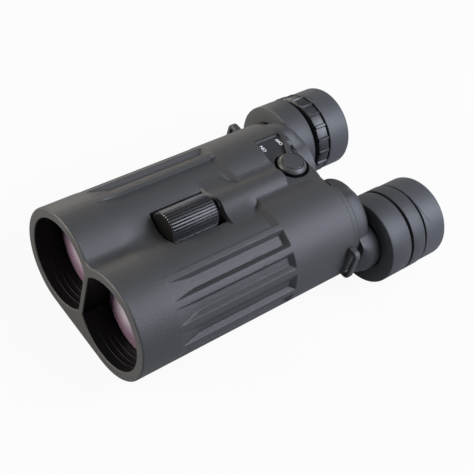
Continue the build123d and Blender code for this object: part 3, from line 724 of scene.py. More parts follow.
@dataclass
class BodyArmour:
    """Rubber armour: front bell, valley, rib strips, grip panels, hump and rear deck.

    Heights are above the objective axes and angles are up from the outboard side, in degrees.
    """

    kit: Builder
    length: float = 126.4
    rim_round: float = 0.9
    shell_end: float = 124.9
    sweep_start: float = 106.0
    sweep_run: float = 14.0
    # How far the rear edge is swept forward, from which distance off the middle, and over what width.
    sweeps: tuple[tuple[float, float, float], ...] = ((1.9, 5.0, 10.0), (0.9, 28.0, 17.0))
    collar_step: float = 2.1
    rear_chamfer: float = 1.3
    deck_sink: float = 3.0
    saddle_blend: float = 7.0
    valley_blend: float = 14.0
    valley_depth: float = 1.7
    valley_edge: float = 78.7
    valley_wall: float = 1.2
    bell_end: float = 19.4
    bell_ramp: float = 11.6
    deck: float = 24.2
    deck_front: float = 86.3
    deck_front_outer: float = 84.6
    deck_slope: float = 0.55
    hump_front: float = 66.4
    hump_foot: float = 22.6
    hump_slope: float = 2.1
    hump_top: float = 26.5
    hump_end: float = 106.3
    hump_end_slope: float = 6.0
    hump_end_curve: float = 0.04
    hump_spread: float = 11.5
    hump_fall: float = 0.42
    hump_knee: float = 4.0
    hump_narrow: float = 16.2
    hump_narrow_start: float = 79.0
    hump_narrow_run: float = 7.5
    hump_face_swept: float = 0.09
    hump_face_square: float = 10.0
    grip_depth: float = 2.35
    grip_front: tuple[float, float] = (20.0, 31.7)
    grip_rear: tuple[float, float] = (82.2, 84.6)
    # Angles of each panel's upper edge, the two edges of its floor, and its lower edge.
    grips: tuple[tuple[float, float, float, float], ...] = (
        (72.8, 69.0, 58.0, 54.0), (47.3, 43.8, 34.8, 30.3),
        (23.4, 15.8, 7.0, 4.5), (-2.4, -6.0, -16.4, -20.0))

    def valley(self, y: np.ndarray, x: np.ndarray | float) -> np.ndarray:
        """Work out how deep the valley lies under the tubes.

        Args:
            y: Places behind the front rim.
            x: Distance off the middle.

        Returns:
            The depth at each place.
        """
        top = self.deck_front - (self.deck_front - self.deck_front_outer) * ease((np.abs(x) - 8.0) / 7.0)
        fall = (y - self.bell_end) * self.valley_depth / self.bell_ramp
        rise = (top - y) * self.deck_slope
        return soft_max(soft_min(soft_min(fall, rise, 0.15), self.valley_depth, 0.12), 0.0, 0.06)

    def grip(self, y: np.ndarray, angle: float) -> np.ndarray:
        """Work out how deep the grip panels are cut.

        Args:
            y: Places behind the front rim.
            angle: Angle round the tube.

        Returns:
            The depth at each place.
        """
        depth = np.zeros_like(y)
        front = (y - self.grip_front[0]) / (self.grip_front[1] - self.grip_front[0])
        rear = (self.grip_rear[1] - y) / (self.grip_rear[1] - self.grip_rear[0])
        for high, floor_high, floor_low, low in self.grips:
            side = min((high - angle) / (high - floor_high), (angle - low) / (floor_low - low))
            share = soft_min(soft_min(soft_min(front, rear, 0.08), side, 0.12), 1.0, 0.12)
            depth = np.maximum(depth, soft_max(share, 0.0, 0.08) * self.grip_depth)
        return depth

    def tube(self, y: np.ndarray, angle: float) -> np.ndarray:
        """Work out the radius of a tube.

        Args:
            y: Places behind the front rim.
            angle: Angle round the tube.

        Returns:
            The radius at each place.
        """
        share = float(np.clip((angle - self.valley_edge + self.valley_wall / 2) / self.valley_wall, 0, 1))
        x = AXIS_X + TUBE * math.cos(math.radians(angle))
        return TUBE - share * self.valley(y, x) - self.grip(y, angle)

    def hump(self, y: np.ndarray, x: float) -> np.ndarray:
        """Work out the height of the hump behind the focus wheel.

        Its ridge is wide and flat behind the wheel and narrows towards the switch.

        Args:
            y: Places behind the front rim.
            x: Distance off the middle.

        Returns:
            The height at each place.
        """
        a, knee, spread, fall = abs(x), self.hump_knee, self.hump_spread, self.hump_fall
        if a < knee:
            wide = self.hump_top - fall * a * a / (2 * knee)
        else:
            run = min(a, spread) - knee
            wide = self.hump_top - fall * knee / 2 - fall * (run - run * run / (2 * (spread - knee)))
        narrow = self.hump_top - a * a / self.hump_narrow
        along = ease((y - self.hump_narrow_start) / self.hump_narrow_run)
        ridge = wide * (1 - along) + narrow * along
        swept = self.hump_face_swept * max(0.0, a - self.hump_face_square)
        face = self.hump_foot + self.hump_slope * (y - self.hump_front + swept)
        end = self.hump_top + self.hump_end_slope * (self.hump_end - self.hump_end_curve * a * a - y)
        return soft_min(soft_min(ridge, face, 0.2), end, 0.35)

    def top(self, y: np.ndarray, x: float) -> np.ndarray:
        """Work out the height of the top between the two tube crowns.

        Args:
            y: Places behind the front rim.
            x: Distance off the middle.

        Returns:
            The height at each place.
        """
        depth = self.valley(y, x)
        radius = TUBE - depth
        near = np.sqrt(radius ** 2 - (abs(x) - AXIS_X) ** 2)
        far = np.sqrt(np.maximum(radius ** 2 - (abs(x) + AXIS_X) ** 2, 0.0))
        share = np.clip(depth / self.valley_depth, 0, 1)
        saddle = soft_max(near, far, self.saddle_blend + (self.valley_blend - self.saddle_blend) * share)
        deck = self.deck - 3.0 * np.maximum(self.deck_front - y, 0.0)
        return soft_max(soft_max(saddle, deck, 0.35), self.hump(y, x), 0.12)

    def rim(self, y: np.ndarray) -> np.ndarray:
        """Work out how far the skin draws in at each end, and on the collar behind.

        Args:
            y: Places behind the front rim.

        Returns:
            The distance at each place.
        """
        inside = np.clip(self.rim_round - y, 0, self.rim_round)
        shell = self.rim_round - np.sqrt(self.rim_round ** 2 - inside ** 2)
        shell = shell + np.clip(y - self.shell_end + self.rear_chamfer, 0, self.rear_chamfer)
        collar = self.collar_step + np.clip(y - self.length + 0.3, 0, 0.3)
        return np.where(y > self.shell_end, collar, shell)

    def sweep(self, y: np.ndarray, across: np.ndarray) -> np.ndarray:
        """Move the rows, so that the shell's rear edge is swept forward towards the sides.

        Args:
            y: Places behind the front rim.
            across: Distance off the middle at each place.

        Returns:
            The new places.
        """
        share = ease((y - self.sweep_start) / self.sweep_run) * (y < self.shell_end + 0.1)
        moved = sum(amount * ease((across - start) / width) for amount, start, width in self.sweeps)
        return y - share * moved

    def rows(self) -> list[float]:
        """Lay out the grid's rows along the body, closer together where the shape turns.

        Returns:
            Their places behind the front rim.
        """
        front = [0.0, 0.06, 0.2, 0.4, 0.65, self.rim_round]
        edges = [1.6, self.bell_end, *self.grip_front, 64.0, self.hump_front, 69.5, self.hump_narrow_start,
                 81.0, *self.grip_rear, self.deck_front, 88.0, 104.2, 107.2, self.shell_end - 1.6]
        close = [(19.0, 32.0, 0.6), (64.0, 69.5, 0.3), (80.5, 88.0, 0.32), (69.5, 81.0, 1.2),
                 (104.0, 107.4, 0.15)]
        chamfer = [self.shell_end - self.rear_chamfer * step for step in (1.12, 1.0, 0.5, 0.0)]
        collar = [self.shell_end + 0.02, self.shell_end + 1.0, self.length - 0.3, self.length]
        return front + stations(edges, 0.25, 3.0, close) + chamfer + collar

    def columns(self) -> list[tuple[float, float | None, float]]:
        """Lay out the grid's columns round the body.

        Returns:
            The side of each column, and its angle on a tube or its X between the tubes.
        """
        marks = [-90.0] + sorted(a for grip in self.grips for a in grip) + [
            self.valley_edge - self.valley_wall / 2, self.valley_edge + self.valley_wall / 2, 90.0]
        walls = [(min(a, b), max(a, b), 0.9) for g in self.grips for a, b in ((g[0], g[1]), (g[2], g[3]))]
        angles = stations(marks, 0.3, 2.6, walls)
        tops = [AXIS_X * (1 - i / 26) for i in range(1, 26)]
        floor = [0.0, 6.0, 12.0]
        left = [(1.0, None, -x - 1.0) for x in floor]
        left += [(1.0, a, 0.0) for a in angles] + [(1.0, None, x) for x in tops]
        right = [(-1.0, a, x) for _, a, x in reversed(left)]
        return left + [(1.0, None, 0.0)] + right

    def skin(self) -> bpy.types.Object:
        """Wrap a grid round the body's outside and close both ends.

        Returns:
            The closed solid.
        """
        rows, columns = np.array(self.rows()), self.columns()
        deselect()
        bpy.ops.mesh.primitive_grid_add(x_subdivisions=len(columns) - 1, y_subdivisions=len(rows) - 1,
                                        size=1.0)
        piece = bpy.context.object
        shape = np.zeros((len(rows), len(columns), 3))
        draw = self.rim(rows)
        for index, (side, angle, x) in enumerate(columns):
            if angle is not None:
                reach = self.tube(rows, angle) - draw
                across = AXIS_X + reach * math.cos(math.radians(angle))
                up = reach * math.sin(math.radians(angle))
            elif x < 0:
                across, up = -x - 1.0 + 0 * rows, draw - TUBE
            else:
                sunk = self.deck_sink * ease((17.5 - x) / 5.0) * (rows > self.shell_end)
                across, up = x + 0 * rows, self.top(rows, x) - draw - sunk
            shape[:, index] = np.stack([side * across, self.sweep(rows, across) + FRONT, up + AXIS_Z], axis=1)
        piece.data.vertices.foreach_set("co", (shape / 1000).ravel())
        outward(piece)
        bpy.ops.object.mode_set(mode="EDIT")
        bpy.ops.mesh.select_mode(type="EDGE")
        bpy.ops.mesh.select_all(action="DESELECT")
        bpy.ops.mesh.select_non_manifold(extend=False, use_wire=False, use_boundary=True,
                                         use_multi_face=False, use_non_contiguous=False, use_verts=False)
        bpy.ops.mesh.edge_face_add()
        bpy.ops.mesh.select_mode(type="VERT")
        bpy.ops.object.mode_set(mode="OBJECT")
        return outward(piece)

    def cavity(self, piece: bpy.types.Object) -> None:
        """Hollow the skin for the inner body, up to the lip behind the front rim.

        Args:
            piece: The skin.
        """
        bore, lip, roof = 22.65, 4.5, 17.25
        end = FRONT + self.length + 1
        for side in Side:
            cut(piece, lengthwise_rod(side.value * AXIS_X, AXIS_Z, bore, FRONT + lip, end, 160))
        cut(piece, box((-AXIS_X, FRONT + lip, AXIS_Z - bore), (AXIS_X, end, AXIS_Z)))
        cut(piece, box((-4.6, FRONT + self.length - 37.5, AXIS_Z - 1), (4.6, end, AXIS_Z + roof)))

    def openings(self, piece: bpy.types.Object) -> None:
        """Cut the wheel's slot, the switch's pocket and well, the mouths and everything let into the floor.

        Args:
            piece: The hollowed skin.
        """
        above, below = AXIS_Z + 40, -1
        cut(piece, box((-10.0, FRONT + 37.6, AXIS_Z + 12.26), (10.0, FRONT + 66.4, above)))
        pocket = box((-22.6, FRONT + 106.7, AXIS_Z + 24.1), (SWITCH_X, FRONT + 122.2, above))
        cut(piece, apply_modifier(pocket, "BEVEL", width=mm(0.8), segments=4, limit_method="ANGLE"))
        for radius, floor, vertices in ((8.5, 22.2, 160), (6.05, 14.2, 96)):
            cut(piece, upright_rod(SWITCH_X, FRONT + SWITCH_Y, radius, AXIS_Z + floor, above, vertices))
        cut(piece, box((-9.45, FRONT + 25.55, below), (9.45, FRONT + 82.95, AXIS_Z - 17.3)))
        cut(piece, upright_rod(0, FRONT + self.length - 22.0, 6.05, below, 4.6, 64))
        for x in (-20.0, 20.0):
            for y in (34.0, self.length - 12.0):
                cut(piece, upright_rod(x, FRONT + y, 2.65, below, 4.6, 48))
        # Place behind the front rim and flare of each outline of a mouth, from the front lip inwards.
        lips = ((-1.0, 0.55), (-0.01, 0.55), (0.07, 0.33), (0.2, 0.15), (0.5, 0.0), (0.6, 0.0), (0.61, 0.45),
                (4.7, 0.45))
        for side in Side:
            cut(piece, copy_of(self.kit.nodes, "strap_lug_" + side.label, "lug_tool"))
            cut(piece, lofted([mouth(side, y, flare) for y, flare in lips], "mouth_tool"))

    def build(self) -> None:
        """Build the armour in one piece with its hump."""
        piece = self.skin()
        self.cavity(piece)
        self.openings(piece)
        outward(piece)
        smooth(piece, 21)
        apply_modifier(piece, "WEIGHTED_NORMAL", keep_sharp=True, weight=60)
        self.kit.place(piece, "armour_shell", "body", Slot.ARMOUR, Finish.ARMOUR,
                       ["armour", "front_bell", "bridge"])


def mouth(side: Side, y: float, flare: float) -> list[tuple[float, float, float]]:
    """Draw one objective mouth, a circle cut flat beside the web, enlarged by a flare.

    Args:
        side: Which half it is in.
        y: Distance behind the front rim.
        flare: How far the outline grows on every side, in millimetres.

    Returns:
        Points of the outline.
    """
    radius, flat, corner = 21.55 + flare, 1.5 - flare - AXIS_X, 1.2
    across = flat + corner
    up = math.sqrt((radius - corner) ** 2 - across ** 2)
    turn = math.degrees(math.atan2(up, across))
    outline = arc(0, 0, radius, -turn, turn, 140)
    outline += arc(across, up, corner, turn, 180, 6)
    outline += [(flat, up * (1 - i / 5)) for i in range(1, 10)]
    outline += arc(across, -up, corner, 180, 360 - turn, 6)[:-1]
    return [(side.value * (AXIS_X + x), FRONT + y, AXIS_Z + z) for x, z in outline[:-1]]


@dataclass
class Objectives:
    """Black hood liners with their glare rings, and the domed front lenses."""

    kit: Builder
    liner_front: float = 0.55
    lip: float = 4.55
    hood_end: float = 22.0
    rings: tuple[float, ...] = (4.6, 7.4, 10.2)
    ring_height: float = 0.32
    lens_front: float = 14.1
    lens_radius: float = 21.0
    lens_bulge: float = 2.6
    lens_edge: float = 3.2

    def liner(self, side: Side) -> bpy.types.Object:
        """Make one hood liner by laying outlines out along its back and home along its bore.

        Args:
            side: Which half it is in.

        Returns:
            The liner with its glare rings.
        """
        section = [(self.liner_front, 0.42), (self.lip, 0.42), (self.lip + 0.01, 0.98), (self.hood_end, 0.98),
                   (self.hood_end, 0.0)]
        for place in reversed(self.rings):
            section += [(place + 0.5, 0.0), (place + 0.3, -self.ring_height),
                        (place + 0.12, -self.ring_height), (place, 0.0)]
        section.append((self.liner_front, 0.0))
        return lofted([mouth(side, y, flare) for y, flare in section], "liner", ring=True)

    def lens(self, side: Side) -> bpy.types.Object:
        """Make one domed lens, cut flat beside the web.

        Args:
            side: Which half it is in.

        Returns:
            The lens.
        """
        dome = (self.lens_radius ** 2 + self.lens_bulge ** 2) / (2 * self.lens_bulge)
        profile = [(self.lens_radius, FRONT + self.lens_front + self.lens_edge)]
        for step in range(16):
            radius = self.lens_radius * (1 - step / 15.3)
            rise = math.sqrt(dome ** 2 - radius ** 2) - (dome - self.lens_bulge)
            profile.append((radius, FRONT + self.lens_front - rise))
        piece = plug(profile, side.value * AXIS_X, AXIS_Z, 144)
        low, high = sorted((-10 * side.value, 2.1 * side.value))
        return cut(piece, box((low, FRONT, 0), (high, FRONT + 30, 60)))

    def build(self) -> None:
        """Build both hoods and lenses."""
        for side in Side:
            self.kit.place(smooth(self.liner(side)), "hood_liner_" + side.label, "body", Slot.HOOD,
                           Finish.LINER, ["hood_" + side.label])
            self.kit.place(smooth(self.lens(side)), "front_lens_" + side.label, "body", Slot.GLASS,
                           Finish.OBJECTIVE, ["objective_" + side.label])


@dataclass
class FocusWheel:
    """Ribbed wheel let into the valley."""

    kit: Builder
    radius: float = 8.14
    start: float = 38.4
    length: float = 25.3
    height: float = 21.8
    ribs: int = 36
    groove: float = 0.62

    def ribbing(self, angle: float, reach: float) -> float:
        """Work out the share of the radius that the grooves leave.

        Args:
            angle: Angle round the wheel in degrees.
            reach: Radius in millimetres.

        Returns:
            The share.
        """
        if reach < self.radius * 0.86:
            return 1.0
        pitch = 360 / self.ribs
        off = abs((angle + 3 + pitch / 2) % pitch - pitch / 2) / (pitch * 0.24)
        return 1 - self.groove / self.radius * max(0.0, 1 - off * off)

    def build(self) -> None:
        """Turn the wheel, flute it and bore it for its shaft."""
        y0, y1 = FRONT + self.start, FRONT + self.start + self.length
        profile = [(0.6 * self.radius, y0), (0.9 * self.radius, y0), (0.96 * self.radius, y0 + 0.12),
                   (self.radius, y0 + 0.5), (self.radius, y1 - 1.3), (0.985 * self.radius, y1 - 0.75),
                   (0.94 * self.radius, y1 - 0.25), (0.86 * self.radius, y1)]
        piece = plug(profile, 0, AXIS_Z + self.height, 540, self.ribbing)
        cut(piece, lengthwise_rod(0, AXIS_Z + self.height, 2.03, y0 + 4, y1 + 1, 64))
        self.kit.place(smooth(piece, 40), "wheel_ribbed", "focus", Slot.KNOB, Finish.WHEEL, ["focus_wheel"])
        # A black disc over the wheel's front face, which shows near black.
        cap = lengthwise_rod(0, AXIS_Z + self.height, self.radius - 0.75, y0 - 0.12, y0 + 0.3, 96)
        self.kit.place(smooth(round_edges(cap, 0.1)), "wheel_front_black_disc", "focus", Slot.KNOB, Finish.INNER_AND_SHADE)


@dataclass
class PowerSwitch:
    """Rotary power switch: knob with its pointer, raised disc, and the two words in the pocket."""

    kit: Builder
    knob_radius: float = 7.05
    disc_radius: float = 5.05
    well: float = 22.6
    top: float = 26.4
    disc_top: float = 26.75
    lever_angle: float = 153.7
    lever_reach: float = 12.9
    lever_width: float = 2.6
    lever_heights: tuple[float, float] = (24.5, 26.0)
    plate_top: float = 24.13
    word_height: float = 24.15
    word_size: float = 2.6
    words: tuple[tuple[str, float, float], ...] = (("OFF", -18.1, 120.0), ("ON", -17.9, 109.7))

    def rod(self, radius: float, low: float, high: float, vertices: int = 128) -> bpy.types.Object:
        """Return an upright cylinder on the switch's axis, its heights above the objective axes."""
        return upright_rod(SWITCH_X, FRONT + SWITCH_Y, radius, AXIS_Z + low, AXIS_Z + high, vertices)

    def knob(self) -> bpy.types.Object:
        """Make the knob with its lever, its stub of spindle and the seat of the disc.

        Returns:
            The knob.
        """
        piece = round_edges(self.rod(self.knob_radius, self.well, self.top), 1.5, 1)
        round_edges(piece, 0.2, 2, 30)
        (foot, head), half = self.lever_heights, self.lever_width / 2
        lever = box((0, -half, AXIS_Z + foot), (self.lever_reach, half, AXIS_Z + head))
        round_edges(lever, 0.45)
        lever.rotation_euler.z = math.radians(self.lever_angle)
        lever.location = (mm(SWITCH_X), mm(FRONT + SWITCH_Y), 0)
        cut(piece, settle(lever), "UNION")
        cut(piece, self.rod(1.5, self.well - 5, self.well + 0.5, 48), "UNION")
        return cut(piece, self.rod(self.disc_radius + 0.3, self.top - 1.0, self.top + 1))

    def word(self, text: str, x: float, y: float) -> bpy.types.Object:
        """Lay one word on the scale plate, to be read from the eyepieces.

        Args:
            text: The word.
            x: X of its middle.
            y: Place of its middle behind the front rim.

        Returns:
            The word as a thin solid.
        """
        deselect()
        bpy.ops.object.text_add(location=(mm(x), mm(FRONT + y), mm(AXIS_Z + self.word_height)),
                                rotation=(0, 0, math.pi))
        piece = bpy.context.object
        piece.data.body = text
        piece.data.size = mm(self.word_size)
        piece.data.align_x = "CENTER"
        piece.data.align_y = "CENTER"
        piece.data.offset = mm(0.01)
        piece.data.extrude = mm(0.02)
        bpy.ops.object.convert(target="MESH")
        return settle(bpy.context.object)

    def build(self) -> None:
        """Build the knob, the disc, a black ring of painted shadow on the well's floor, the scale plate and
        the words.
        """
        place = self.kit.place
        place(smooth(self.knob()), "switch_turn_knob", "switch", Slot.KNOB, Finish.KNOB, ["switch_knob"])
        disc = round_edges(self.rod(self.disc_radius, self.top - 0.95, self.disc_top), 0.2)
        place(smooth(disc), "switch_disc", "switch", Slot.KNOB, Finish.KNOB, ["switch_inlay"])
        # A thin black ring on the well's floor round the knob: painted shadow in the well.
        well = cut(self.rod(8.35, 22.21, 22.4), self.rod(6.1, 21, 23, 96))
        place(well, "switch_well_painted_shadow", "body", Slot.ARMOUR, Finish.INNER_AND_SHADE)
        plate = box((-22.0, FRONT + 107.3, AXIS_Z + 24.0), (SWITCH_X, FRONT + 121.6, AXIS_Z + self.plate_top))
        cut(plate, self.rod(8.6, 23, 25, 96))
        place(plate, "switch_scale_plate", "body", Slot.ARMOUR, Finish.PLATE)
        for text, x, y in self.words:
            place(self.word(text, x, y), "switch_word_" + text.lower(), "body", Slot.ARMOUR, Finish.INK)


@dataclass
class Turret:
    """One turning neck with its eyepiece: housing, ring, eyecup and lug.

    Lengths run back from the front rim; radii are the outsides of the turned parts. Angles round the
    neck are in degrees up from the outboard side.
    """

    kit: Builder
    side: Side
    offset: float = 17.84
    rest: float = -9.4
    disc_radius: float = 18.5
    lobe_radius: float = 12.75
    fillet: float = 6.0
    neck_front: float = 126.7
    housing_front: float = 136.9
    housing_end: float = 149.9
    housing_radius: float = 21.2
    ring_front: float = 151.45
    ring_end: float = 159.65
    cup_front: float = 160.9
    cup_end: float = 175.0
    cup_radius: float = 20.9
    cup_roll: float = 1.9
    barrel: float = 17.05
    # Place and radius along the shoulder, and along the gap that it has to stay inside.
    shoulder_run: tuple[Point, ...] = (
        (126.4, 23.9), (132.0, 23.6), (134.0, 22.4), (135.6, 20.6), (136.5, 19.3), (136.9, 18.4))
    shoulder_room: tuple[Point, ...] = ((126.4, 27.0), (131.5, 31.2))
    shoulder_upper: tuple[float, float] = (101.0, 27.0)
    shoulder_lower: tuple[float, float] = (-88.0, 50.0)
    dioptre_radius: float = 20.85
    dioptre_bore: float = 17.08
    dioptre_ribs: int = 19
    dioptre_turn: float = 168.7
    rib_height: float = 0.62
    rib_half: float = 1.0
    rib_flank: float = 0.35

    def turned_edge(self, profile: Sequence[Point], width: float = 0.5,
                    swell: Callable[[float, float], float] | None = None,
                    vertices: int = 144) -> bpy.types.Object:
        """Turn a profile about this eyepiece's axis, and round its corners.

        Args:
            profile: Radius and place behind the front rim of each corner.
            width: Width of the rounding, or 0 for none.
            swell: Gives the share of the radius at an angle and radius.
            vertices: Points round the circle.

        Returns:
            The turned piece.
        """
        placed = [(radius, FRONT + y) for radius, y in profile]
        piece = turned(placed, self.side.value * EYE_X, EYE_Z, vertices, swell)
        return smooth(round_edges(piece, width, 3, 50) if width else piece, 35)

    def neck_outline(self, y: float, inset: float) -> list[tuple[float, float, float]]:
        """Draw the neck's outline: a large disc and a small lobe, joined by fillets.

        Args:
            y: Place behind the front rim.
            inset: How far the outline is drawn in.

        Returns:
            Points of the outline.
        """
        disc, lobe, web = self.disc_radius - inset, self.lobe_radius - inset, self.fillet + inset
        # The fillet's centre is the corner of a triangle on the two circles' centres.
        a, b, c = disc + web, lobe + web, self.offset
        x = (a * a - b * b + c * c) / (2 * c)
        z = math.sqrt(a * a - x * x)
        on_disc = math.degrees(math.atan2(z, x))
        on_lobe = math.degrees(math.atan2(z, x - c))
        outline = arc(c, 0, lobe, -on_lobe, on_lobe, 60)
        outline += arc(x, z, web, 180 + on_lobe, 180 + on_disc, 10)[1:-1]
        outline += arc(0, 0, disc, on_disc, 360 - on_disc, 80)
        outline += arc(x, -z, web, 180 - on_disc, 180 - on_lobe, 10)[1:-1]
        turn = math.radians(self.rest)
        return [(self.side.value * (AXIS_X + px * math.cos(turn) - pz * math.sin(turn)), FRONT + y,
                 AXIS_Z + px * math.sin(turn) + pz * math.cos(turn)) for px, pz in outline]

    def shoulder(self, y: float, outline: Sequence[Sequence[float]]) -> list[tuple[float, float, float]]:
        """Swell an outline of the neck into the wide shoulder behind the body's collar.

        Args:
            y: Place behind the front rim.
            outline: Points of the neck's outline there.

        Returns:
            Points of the new outline.
        """
        radius = float(np.interp(y, *zip(*self.shoulder_run)))
        room = float(np.interp(y, *zip(*self.shoulder_room)))
        (upper, upper_fade), (lower, lower_fade) = self.shoulder_upper, self.shoulder_lower
        widened = []
        for x, place, z in outline:
            px, pz = self.side.value * x - AXIS_X, z - AXIS_Z
            angle, reach = math.degrees(math.atan2(pz, px)), math.hypot(px, pz)
            share = float(ease((upper - angle) / upper_fade) * ease((angle - lower) / lower_fade))
            want = max(reach, self.disc_radius + (radius - self.disc_radius) * share)
            scale = float(soft_min(soft_max(reach, want, 1.2 * share + 0.01), room, 0.8)) / reach
            widened.append((self.side.value * (AXIS_X + px * scale), place, AXIS_Z + pz * scale))
        return widened

    def neck(self) -> bpy.types.Object:
        """Make the neck with soft edges, on its bearing hub.

        Returns:
            The neck.
        """
        # Distance behind the neck's front and inset of each outline.
        levels = ((-0.25, 0.3), (-0.2, 0.05), (0.3, 0.0), (2.5, 0.0), (4.8, 0.0), (5.8, 0.0), (6.8, 0.0),
                  (7.8, 0.0), (8.7, 0.0), (9.1, 0.0), (9.7, 0.12), (10.05, 0.45), (10.2, 0.9))
        piece = lofted([self.shoulder(self.neck_front + y, self.neck_outline(self.neck_front + y, inset))
                        for y, inset in levels], "neck")
        hub = lengthwise_rod(self.side.value * AXIS_X, AXIS_Z, 15.5, FRONT + 118.4, FRONT + 127.2, 96)
        return smooth(cut(piece, hub, "UNION"), 35)

    def scallop(self, angle: float, reach: float) -> float:
        """Work out the share of the radius round the dioptre ring, which is larger on its ribs.

        Args:
            angle: Angle round the ring in degrees.
            reach: Radius in millimetres.

        Returns:
            The share.
        """
        if reach < 19.5:
            return 1.0
        pitch = 360 / self.dioptre_ribs
        place = angle - self.dioptre_turn if self.side is Side.RIGHT else angle
        # Distance from the middle of the nearest rib, measured round a circle of radius 21.
        off = abs((place + pitch / 2) % pitch - pitch / 2) * math.radians(1) * 21
        rib = float(np.clip((self.rib_half - off) / self.rib_flank, 0.0, 1.0))
        return 1 + self.rib_height / self.dioptre_radius * rib

    def ring(self) -> bpy.types.Object:
        """Make the ring: plain on the left, with the ribs of the dioptre scale on the right.

        Returns:
            The ring.
        """
        y0, y1 = self.ring_front, self.ring_end
        if self.side is Side.LEFT:
            return self.turned_edge([(self.barrel, y0), (self.housing_radius, y0), (self.housing_radius, y1),
                                     (self.barrel, y1)], 0.3)
        wide, bore, y0 = self.dioptre_radius, self.dioptre_bore, y0 + 0.7
        return self.turned_edge([(bore, y0 + 0.2), (19.0, y0 + 0.2), (19.8, y0 + 0.6), (wide - 0.1, y0 + 0.9),
                                 (wide, y0 + 1.1), (wide, y1 - 0.25), (wide - 0.2, y1), (bore, y1)],
                                0.0, self.scallop, 570)

    def eyecup(self) -> bpy.types.Object:
        """Make the eyecup with its rolled rim.

        Returns:
            The eyecup.
        """
        r, roll, y0, y1 = self.cup_radius, self.cup_roll, self.cup_front, self.cup_end
        rim = [(r - roll + roll * math.cos(a), y1 - roll + roll * math.sin(a))
               for a in [math.radians(90 * i / 6) for i in range(7)]]
        return self.turned_edge([(18.24, y0), (r - 0.25, y0), (r, y0 + 0.25)] + rim + [
            (16.3, y1), (15.5, y1 - 0.35), (15.05, y1 - 1.2), (15.05, y1 - 3.0), (18.24, y1 - 5.0)], 0.0)

    def index_line(self) -> bpy.types.Object:
        """Lay the thin curved line on the eyecup beside its groove.

        Returns:
            The line as a thin solid.
        """
        # Angle and place behind the front rim of each end.
        ends = {Side.LEFT: ((76.0, 161.5), (46.0, 164.3)), Side.RIGHT: ((118.0, 161.4), (98.0, 162.9))}
        start, end = ends[self.side]
        foot, top, half, steps = self.cup_radius - 0.2, self.cup_radius + 0.03, 0.13, 16
        loops = []
        for i in range(steps + 1):
            t = i / steps
            angle = math.radians(start[0] + (end[0] - start[0]) * t)
            y = FRONT + start[1] + (end[1] - start[1]) * t * t
            loops.append([(self.side.value * EYE_X + r * math.cos(angle), y + d, EYE_Z + r * math.sin(angle))
                          for r, d in ((foot, -half), (top, -half), (top, half), (foot, half))])
        return lofted(loops, "index_line")

    def lug(self) -> bpy.types.Object:
        """Make the strap loop with its edges rounded."""
        loop = copy_of(self.kit.nodes, "strap_lug_" + self.side.label, "lug")
        return smooth(round_edges(loop, 0.7, 3, 50), 40)

    def build(self) -> None:
        """Build every piece of this side."""
        end, kit = self.side.label, self.kit
        turret, cup = "turret_" + end, "cup_" + end
        kit.place(self.lug(), "strap_loop_" + end, "body", Slot.ARMOUR, Finish.ARMOUR, ["strap_lug_" + end])
        kit.place(self.neck(), "neck_" + end, turret, Slot.ARMOUR, Finish.NYLON, [turret])
        bore, face, wall_end = 13.0, self.housing_front, self.housing_front + 2.4
        housing = self.turned_edge([(bore, face), (self.housing_radius, face),
                                    (self.housing_radius, self.housing_end), (self.barrel, self.housing_end),
                                    (self.barrel, wall_end), (bore, wall_end)])
        kit.place(housing, "housing_" + end, turret, Slot.ARMOUR, Finish.NYLON, ["eyepiece_housing_" + end])
        if self.side is Side.LEFT:
            kit.place(self.ring(), "ring_plain", turret, Slot.ARMOUR, Finish.NYLON, ["eyepiece_ring"])
        else:
            kit.place(self.ring(), "ring_dioptre", "dioptre", Slot.ARMOUR, Finish.RING, ["dioptre_ring"])
        kit.place(self.eyecup(), "eyecup_soft_" + end, cup, Slot.CUP, Finish.CUP, ["eyecup_" + end])
        kit.place(self.index_line(), "eyecup_line_" + end, cup, Slot.CUP, Finish.LINE)


# ------------------------------------------------------------------ the studio


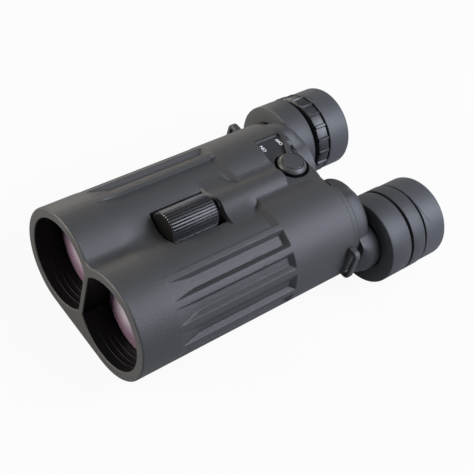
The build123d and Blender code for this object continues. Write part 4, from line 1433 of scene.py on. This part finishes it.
@dataclass
class Studio:
    """White sweep, soft lamps and the camera."""

    ambient: float = 0.2
    floor_white: float = 0.93
    # Name, place in metres, width, power in watts and colour of each soft lamp.
    lamps: tuple[tuple[str, tuple[float, float, float], float, float, str], ...] = (
        ("key_right_behind", (0.46, 0.46, 0.62), 0.65, 14.0, "#e8eeff"),
        ("fill_front_left", (-0.5, -0.85, 0.08), 0.6, 26.0, "#fffaf0"),
        ("rim_left", (-0.95, 0.25, 0.1), 0.5, 4.0, "#fff6e8"),
        ("overhead", (0.1, 0.1, 1.1), 0.7, 2.0, "#ffffff"),
    )

    def background(self, tree: bpy.types.NodeTree) -> bpy.types.NodeSocket:
        """Tell the rays that should see a white background.

        Args:
            tree: Node tree of the world or the floor.

        Returns:
            A socket that gives 1 for those rays and 0 for all others.
        """
        path = add_node(tree, "ShaderNodeLightPath")
        rays = {"0": path.outputs["Is Camera Ray"], "1": path.outputs["Is Transmission Ray"]}
        return add_node(tree, "ShaderNodeMath", {"operation": "MAXIMUM"}, rays).outputs[0]

    def world(self) -> None:
        """Set a plain grey surround that shows white behind the object."""
        world = bpy.data.worlds.new("studio_world")
        bpy.context.scene.world = world
        world.use_nodes = True
        tree = world.node_tree
        tree.nodes.clear()
        dim = add_node(tree, "ShaderNodeBackground", {"[Color]": srgb("#f4f6ff"), "[Strength]": self.ambient})
        white = add_node(tree, "ShaderNodeBackground", {"[Color]": srgb("#ffffff"), "[Strength]": 1.0})
        mix = add_node(tree, "ShaderNodeMixShader", None,
                       {"0": self.background(tree), "1": dim.outputs[0], "2": white.outputs[0]})
        add_node(tree, "ShaderNodeOutputWorld", None, {"Surface": mix.outputs[0]})

    def floor(self) -> None:
        """Lay the pale floor, which shows white but keeps a trace of the shadow."""
        deselect()
        bpy.ops.mesh.primitive_plane_add(size=6.0, location=(0, 0, -0.0003))
        floor = named(settle(bpy.context.object), "studio_floor")
        material = bpy.data.materials.new("paper_sweep_white")
        material.use_nodes = True
        tree = material.node_tree
        tree.nodes.clear()
        matt = add_node(tree, "ShaderNodeBsdfDiffuse", {"[Color]": srgb("#a8a8a8")})
        glow = add_node(tree, "ShaderNodeEmission", {"[Color]": srgb("#ffffff"), "[Strength]": 1.0})
        share = add_node(tree, "ShaderNodeMath", {"operation": "MULTIPLY", "[1]": self.floor_white},
                         {"0": self.background(tree)})
        mix = add_node(tree, "ShaderNodeMixShader", None,
                       {"0": share.outputs[0], "1": matt.outputs[0], "2": glow.outputs[0]})
        add_node(tree, "ShaderNodeOutputMaterial", None, {"Surface": mix.outputs[0]})
        floor.data.materials.append(material)

    def lights(self) -> None:
        """Hang the soft boxes, each turned to the object."""
        for name, place, size, power, colour in self.lamps:
            lamp = bpy.data.lights.new(name, "AREA")
            lamp.shape = "SQUARE"
            lamp.size = size
            lamp.energy = power
            lamp.color = srgb(colour)[:3]
            holder = bpy.data.objects.new(name, lamp)
            holder.location = place
            aim = Vector((0, 0, 0.02)) - Vector(place)
            holder.rotation_euler = aim.to_track_quat("-Z", "Y").to_euler()
            bpy.context.scene.collection.objects.link(holder)

    def camera(self) -> None:
        """Set the camera above the front right corner, turned to the instrument."""
        lens = bpy.data.cameras.new("camera")
        lens.lens = 76.09
        lens.sensor_width = 36.0
        lens.clip_start = 0.01
        eye = bpy.data.objects.new("camera", lens)
        turn = Matrix(((0.6029, -0.6766, 0.4229), (0.7702, 0.3554, -0.5295), (0.2080, 0.6450, 0.7354)))
        eye.matrix_world = Matrix.Translation((0.2042, -0.2549, 0.3712)) @ turn.to_4x4()
        bpy.context.scene.collection.objects.link(eye)
        bpy.context.scene.camera = eye

    def build(self) -> None:
        """Set up the whole studio."""
        bpy.context.scene.view_settings.view_transform = "Standard"
        self.world()
        self.floor()
        self.lights()
        self.camera()


def main() -> None:
    """Load the frame, dress it, build the pieces and set up the studio."""
    logging.basicConfig(level=logging.INFO, format="%(message)s")
    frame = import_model()
    deselect()
    palette = Palette()
    kit = Builder(frame["nodes"], palette)
    for finish, names in NODE_FINISH.items():
        for name in names.split():
            palette.paint(frame["nodes"][name], finish)
    for part in (BodyArmour(kit), Objectives(kit), FocusWheel(kit), PowerSwitch(kit),
                 Turret(kit, Side.LEFT), Turret(kit, Side.RIGHT)):
        part.build()
    Studio().build()
    deselect()


if __name__ == "__main__":
    main()
